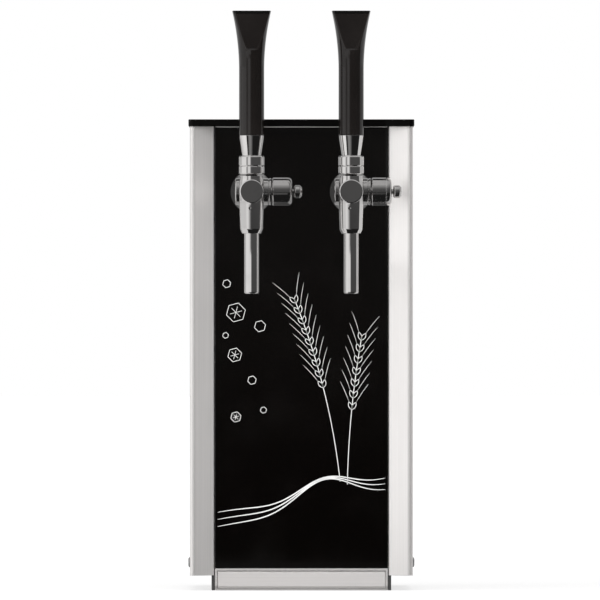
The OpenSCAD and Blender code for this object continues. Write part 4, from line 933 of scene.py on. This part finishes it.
# %% Rear fittings
INLET_BORE, AIR_BORE = 4.8, 4.1
GLAND = [(3.8, -14), (3.8, 15), (7, 15), (10, 10), (10, 6), (11, 5), (11, 0), (8, 0), (8, -14)]
rear_y = box_of("rear_panel")[1][1]
mounts = {mount["name"]: np.array(mount["pos_m"]) for mount in frame["record"]["mounts"]}


def on_rear(place):
    """The place straight in front of or behind this one on the rear panel's outer face."""
    return np.array([place[0], rear_y, place[2]])


def bulkhead(mount, bore):
    """A turned fitting through the panel: socket, barrel, flange and thread."""
    profile = [(0, 4), (bore, 4), (bore, 22), (8.2, 22), (8.2, 17), (9.4, 16), (9.4, 5), (11, 4), (11, 0),
               (8, 0), (8, -22), (0, -22)]
    return turned(profile, on_rear(mounts[mount]), "Y", 0.35)


inlets = [bulkhead("beer_inlet_left", INLET_BORE), bulkhead("beer_inlet_right", INLET_BORE)]
new_piece("beer_inlet_fittings", inlets, "case", dark_plastic, ("beer_inlets",))
new_piece("air_fitting", [bulkhead("air_outlet", AIR_BORE)], "case", dark_plastic,
          ("air_outlet",))
gland = turned(GLAND, on_rear(mounts["cord_gland"]), "Y", 0.5, ring=True)
new_piece("gland_nut", [gland], "case", black_plastic, ("cord_gland",))
print("fittings at", {name: np.round(p / MM).tolist() for name, p in mounts.items() if name != "rest_face"})

# %% Dial
DIAL = [(0, 3), (16, 3), (16, 6.4), (14.6, 16), (13.4, 17), (0, 17)]
DIAL_SOFT = [0.4, 0.6, 0.8, 0.8]
FLUTES, FLUTE_DEPTH, FLUTE_FROM, FLUTE_R = 12, 0.9, 6.6, 9
RIDGE_AT, RIDGE_HALF = np.array([0, 16.5, 7.5]), (1.0, 5.5)
RIDGE_CORNER, RIDGE_T, RIDGE_SOFT = 0.8, 1.5, 0.4


def dial_points(at):
    """The profile turned about Y, with radius r - cut*depth*(0.5 + 0.5*cos(12 u))^2; cut fades the flutes out
    towards the skirt below and the middle of the face."""
    rows, _ = softened(DIAL, DIAL_SOFT)
    u = np.linspace(0, 2 * np.pi, 192, endpoint=False)
    flute = FLUTE_DEPTH * (0.5 + 0.5 * np.cos(FLUTES * u)) ** 2
    cut = np.clip((rows[:, 1] - FLUTE_FROM) / 1.0, 0, 1) * np.clip((rows[:, 0] - FLUTE_R) / 3, 0, 1)
    r = rows[:, 0, None] - cut[:, None] * flute
    points = np.stack([r * np.sin(u), np.broadcast_to(rows[:, 1, None], r.shape), r * np.cos(u)], -1)
    return at + MM * points, 0.0


dial_at = on_rear(joints["dial_turn"]["pos_m"])
ridge = slab(dial_at + RIDGE_AT * MM, RIDGE_HALF, RIDGE_CORNER, RIDGE_T, RIDGE_SOFT, [0, 2, 1])
dial = new_piece("dial_grip", [dial_points(dial_at), ridge], "dial", black_plastic,
                 ("thermostat_knob",))
print("dial:", len(dial.data.polygons), "faces with", FLUTES, "flutes")

# %% [markdown]
# ## Floor, world and lamps
# The floor and the world are white to the camera, and the floor keeps the case's shadow. Chrome shows
# whatever stands round it, so in reflections the world is a studio: pale all round, with a bright strip on
# the left. A photographer adds cards to that. A curved one stands and lies in front. It is pale at its left
# end and fades to dark on the right, and gives every tube a bright and a dark stripe. A pale one, seen from
# the front only, keeps the edges of the tubes from sinking into the black panel behind them. It is dimmer
# beside and under the knobs. The flange beside the right tap would look soiled by the tap's image and
# shadow, so a third card, seen from the flange's side only, stands between them, and the taps cast no
# shadow. The lamps only shed light.

# %% Stage helpers
WHITE = (1, 1, 1, 1)


def stage_piece(name, points, faces, finish):
    """A thing in the studio that is no part of the dispenser."""
    mesh = bpy.data.meshes.new(name)
    mesh.from_pydata(points, [], faces)
    mesh.materials.append(finish)
    piece = bpy.data.objects.new(name, mesh)
    bpy.context.scene.collection.objects.link(piece)
    return piece


def stage_card(name, points, faces, finish):
    """A card that only reflections show."""
    card = stage_piece(name, points, faces, finish)
    card.visible_camera = card.visible_diffuse = card.visible_shadow = False
    return card


def rays(tree):
    """Three signals: 1 for what the camera sees, for what mirrors show and for what shows through glass."""
    kinds = ("Camera", "Glossy", "Transmission")
    return [source(tree, "ShaderNodeLightPath", f"Is {kind} Ray") for kind in kinds]


def to_surface(tree, shader):
    """Makes this shader the surface of its material."""
    tree.links.new(shader.socket, tree.nodes["Material Output"].inputs["Surface"])


def one_way(tree, strength):
    """Glows on the side that its faces point to, and is clear from behind."""
    behind = source(tree, "ShaderNodeNewGeometry", "Backfacing")
    gleam = behind.node("ShaderNodeEmission", {}, {"Color": WHITE, "Strength": strength})
    clear = behind.node("ShaderNodeBsdfTransparent", {}, {"Color": WHITE})
    to_surface(tree, behind.node("ShaderNodeMixShader", {}, {0: behind, 1: gleam, 2: clear}))


print("helpers ready: stage_piece, stage_card, rays, to_surface, one_way")

# %% Floor
FLOOR_HALF, FLOOR_GREY, FLOOR_GLOW = 40.0, 0.86, 0.6
NEAR_WHITE, FAR_MORE, FAR_FROM, MIRROR_LESS = 1.18, 0.36, (0.5, 2.5), 0.3
floor_white, tree = new_material("floor_white")
shade = tree.nodes["Principled BSDF"]
apply_finish(shade, Base_Color=(FLOOR_GREY, FLOOR_GREY, FLOOR_GREY, 1), Roughness=1.0, Specular_IOR_Level=0.0)
camera_ray, mirror_ray, glass_ray = rays(tree)
seen = camera_ray + mirror_ray + glass_ray
ground = source(tree, "ShaderNodeTexCoord", "Object")
away = ground.node("ShaderNodeVectorMath", {"operation": "LENGTH"}, {0: ground}, out="Value")
whiteness = (NEAR_WHITE + FAR_MORE * away.smooth(*FAR_FROM)) * (1 - MIRROR_LESS * mirror_ray)
glow = seen.node("ShaderNodeEmission", {}, {"Color": WHITE, "Strength": whiteness})
lit = Signal(tree, shade.outputs[0])
to_surface(tree, seen.node("ShaderNodeMixShader", {}, {0: seen * FLOOR_GLOW, 1: lit, 2: glow}))
floor_corners = [(x * FLOOR_HALF, y * FLOOR_HALF, 0) for x, y in ((-1, -1), (1, -1), (1, 1), (-1, 1))]
stage_piece("floor", floor_corners, [(0, 1, 2, 3)], floor_white)
print("floor:", 2 * FLOOR_HALF, "m across")

# %% World
AMBIENT, STUDIO, STRIP = 0.4, 0.62, 0.38
STRIP_AT = ((-104, -98), (-50, -46))
world = bpy.data.worlds.new("studio")
bpy.context.scene.world = world
world.use_nodes = True
tree = world.node_tree
x, y, z = source(tree, "ShaderNodeTexCoord", "Generated").coordinates()
azimuth = x.math("ARCTAN2", x, y * -1.0)
studio = STUDIO + STRIP * azimuth.band(*np.radians(STRIP_AT))
camera_ray, mirror_ray, glass_ray = rays(tree)
mirrored = mirror_ray + glass_ray
level = camera_ray + mirrored * studio + (1 - camera_ray - mirrored) * AMBIENT
tree.links.new(level.socket, tree.nodes["Background"].inputs["Strength"])
tree.nodes["Background"].inputs["Color"].default_value = WHITE
print("ambient level:", AMBIENT)

# %% Curved card
CARD_R, CARD_TOP, CARD_INNER, LIFT = 1.5, 2.4, 0.12, 0.001
ARC_POINTS = 45


def arc_sheet(start, end, rings):
    """Points at (radius, height) for each ring, swept round the dispenser from azimuth start to end."""
    u = np.radians(np.linspace(start, end, ARC_POINTS))[None, :, None]
    rings = np.asarray(rings, float)
    radius = rings[:, 0, None, None]
    height = np.broadcast_to(rings[:, 1, None, None], (len(rings), ARC_POINTS, 1))
    return np.concatenate([radius * np.sin(u), FRONT_Y - radius * np.cos(u), height], -1)


sheets = [arc_sheet(-52, 86, [(CARD_R, 0.0), (CARD_R, 0.5), (CARD_R, CARD_TOP)]),
          arc_sheet(-50, 86, [(CARD_INNER, LIFT), (0.5, LIFT), (CARD_R, LIFT)]),
          arc_sheet(-180, 180, [(0.0, LIFT), (CARD_INNER / 2, LIFT), (CARD_INNER, LIFT)])]
card_points = np.concatenate([sheet.reshape(-1, 3) for sheet in sheets])
sheet_faces = grid_faces(3, ARC_POINTS, False)
card_faces = np.concatenate([sheet_faces + 3 * ARC_POINTS * k for k in range(len(sheets))])
print("curved card:", len(card_faces), "faces")

# %% Light and dark on the curved card
# A tube mirrors the card at about its own height, so each band of the card belongs to a piece of the taps.
# Angles are in degrees from straight ahead, and the part that lies on the floor is dark but for a sheen.
STANDING = (0.002, 0.01)
COLLARS = (0.338, 0.345)
SPOUT_ENDS = ((0.238, 0.246), (0.2965, 0.2975))
FADE_FROM, FADE_TO, FADE_COLLARS, FADE_SPOUT_ENDS = -41, -3.5, 20, 30
DIP_AT, SHEEN_AT = ((-53, -44), (-42, -26)), ((-40, -24), (-14, 14))
PALE, DIP, SHEEN = 0.95, 0.62, 0.25
DARKEST, MID_GREY, MID_AT, HIGH_GREY, HIGH_AT = 0.016, 0.075, (0.02, 0.35), 0.36, (0.6, 2.2)
FAR_SQUARED = (0.6, 0.8)
card_grey, tree = new_material("card_grey")
x, y, z = source(tree, "ShaderNodeTexCoord", "Object").coordinates()
out_y = FRONT_Y - y
around = x.math("ARCTAN2", x, out_y)
standing = z.smooth(*STANDING)
at_collars = z.smooth(*COLLARS)
at_spout_ends = z.band(*SPOUT_ENDS)
fade_from = (FADE_FROM + FADE_COLLARS * at_collars + FADE_SPOUT_ENDS * at_spout_ends) * np.radians(1)
pale = standing * (1 - around.smooth(fade_from, np.radians(FADE_TO)))
dip = at_collars * around.band(*np.radians(DIP_AT))
dark = DARKEST + MID_GREY * z.smooth(*MID_AT) + HIGH_GREY * z.smooth(*HIGH_AT)
far_out = (x * x + out_y * out_y).smooth(*FAR_SQUARED)
sheen = (1 - standing) * far_out * around.band(*np.radians(SHEEN_AT))
glow = dark * (1 - pale) + (PALE - DIP * dip) * pale + SHEEN * sheen
to_surface(tree, glow.node("ShaderNodeEmission", {}, {"Color": WHITE, "Strength": glow}))
stage_card("dark_card", card_points.tolist(), card_faces.tolist(), card_grey)
print("curved card stands", CARD_R, "m away")

# %% Edge card
EDGE_X, EDGE_Z, EDGE_GAP = 0.074, (0.06, 0.392), 0.0012
KNOB_OUT, KNOB_HALF = 0.031, (0.0135, 0.0155)
BESIDE_KNOBS, UNDER_KNOBS = ((0.326, 0.336), (0.358, 0.366)), (0.35, 0.358)
EDGE_GLOW, EDGE_DIM = 0.45, 0.37
edge_grey, tree = new_material("edge_grey")
x, y, z = source(tree, "ShaderNodeTexCoord", "Object").coordinates()
beside_knobs = z.band(*BESIDE_KNOBS)
off_left, off_right = (abs(x - (at[0] + KNOB_OUT)).smooth(*KNOB_HALF) for at in tap_at.values())
under_knobs = (1 - off_left * off_right) * (1 - z.smooth(*UNDER_KNOBS))
shaded = beside_knobs + under_knobs - beside_knobs * under_knobs
one_way(tree, EDGE_GLOW - EDGE_DIM * shaded)
edge_corners = [(x, fascia_y - EDGE_GAP, z) for z in EDGE_Z for x in (-EDGE_X, EDGE_X)]
edge_card = stage_card("edge_card", edge_corners, [(0, 1, 3, 2)], edge_grey)
print("edge card faces", np.round(edge_card.data.polygons[0].normal, 1).tolist())

# %% Flange card
FLANGE_X, FLANGE_Y, FLANGE_Z = 0.0735, (-0.275, -0.178), (0.285, 0.47)
flange_white, tree = new_material("flange_white")
one_way(tree, 1.0)
flange_corners = [(FLANGE_X, y, z) for z in FLANGE_Z for y in FLANGE_Y]
flange_card = stage_card("flange_card", flange_corners, [(0, 1, 3, 2)], flange_white)
print("flange card faces", np.round(flange_card.data.polygons[0].normal, 1).tolist())

# %% Taps without shadows
NOT_TAPS = ("_side", "_side_panel", "_skid")
unshadowed = [piece for piece in bpy.data.objects
              if piece.name.startswith(SIDES) and not piece.name.endswith(NOT_TAPS)]
for piece in unshadowed:
    piece.visible_shadow = False
print("pieces that cast no shadow:", len(unshadowed))

# %% Lamps
LAMPS = {"key_left": ((-2.05, -1.0, 0.8), 1.8, 25.0), "key_front": ((-0.1, -2.15, 0.9), 2.0, 33.0),
         "fill_right": ((1.9, -1.0, 0.7), 1.6, 3.0), "top": ((0.0, -0.3, 2.2), 1.6, 12.0),
         "back": ((0.6, 2.2, 1.2), 1.8, 14.0)}
LAMP_AIM = Vector((0, -0.1, 0.25))
for name, (place, size, power) in LAMPS.items():
    lamp = bpy.data.lights.new(name, "AREA")
    lamp.shape = "SQUARE"
    lamp.size = size
    lamp.energy = power
    stand = bpy.data.objects.new(name, lamp)
    stand.location = place
    stand.rotation_euler = (LAMP_AIM - Vector(place)).to_track_quat("-Z", "Y").to_euler()
    stand.visible_glossy = False
    bpy.context.scene.collection.objects.link(stand)
print("lamps:", len(LAMPS))
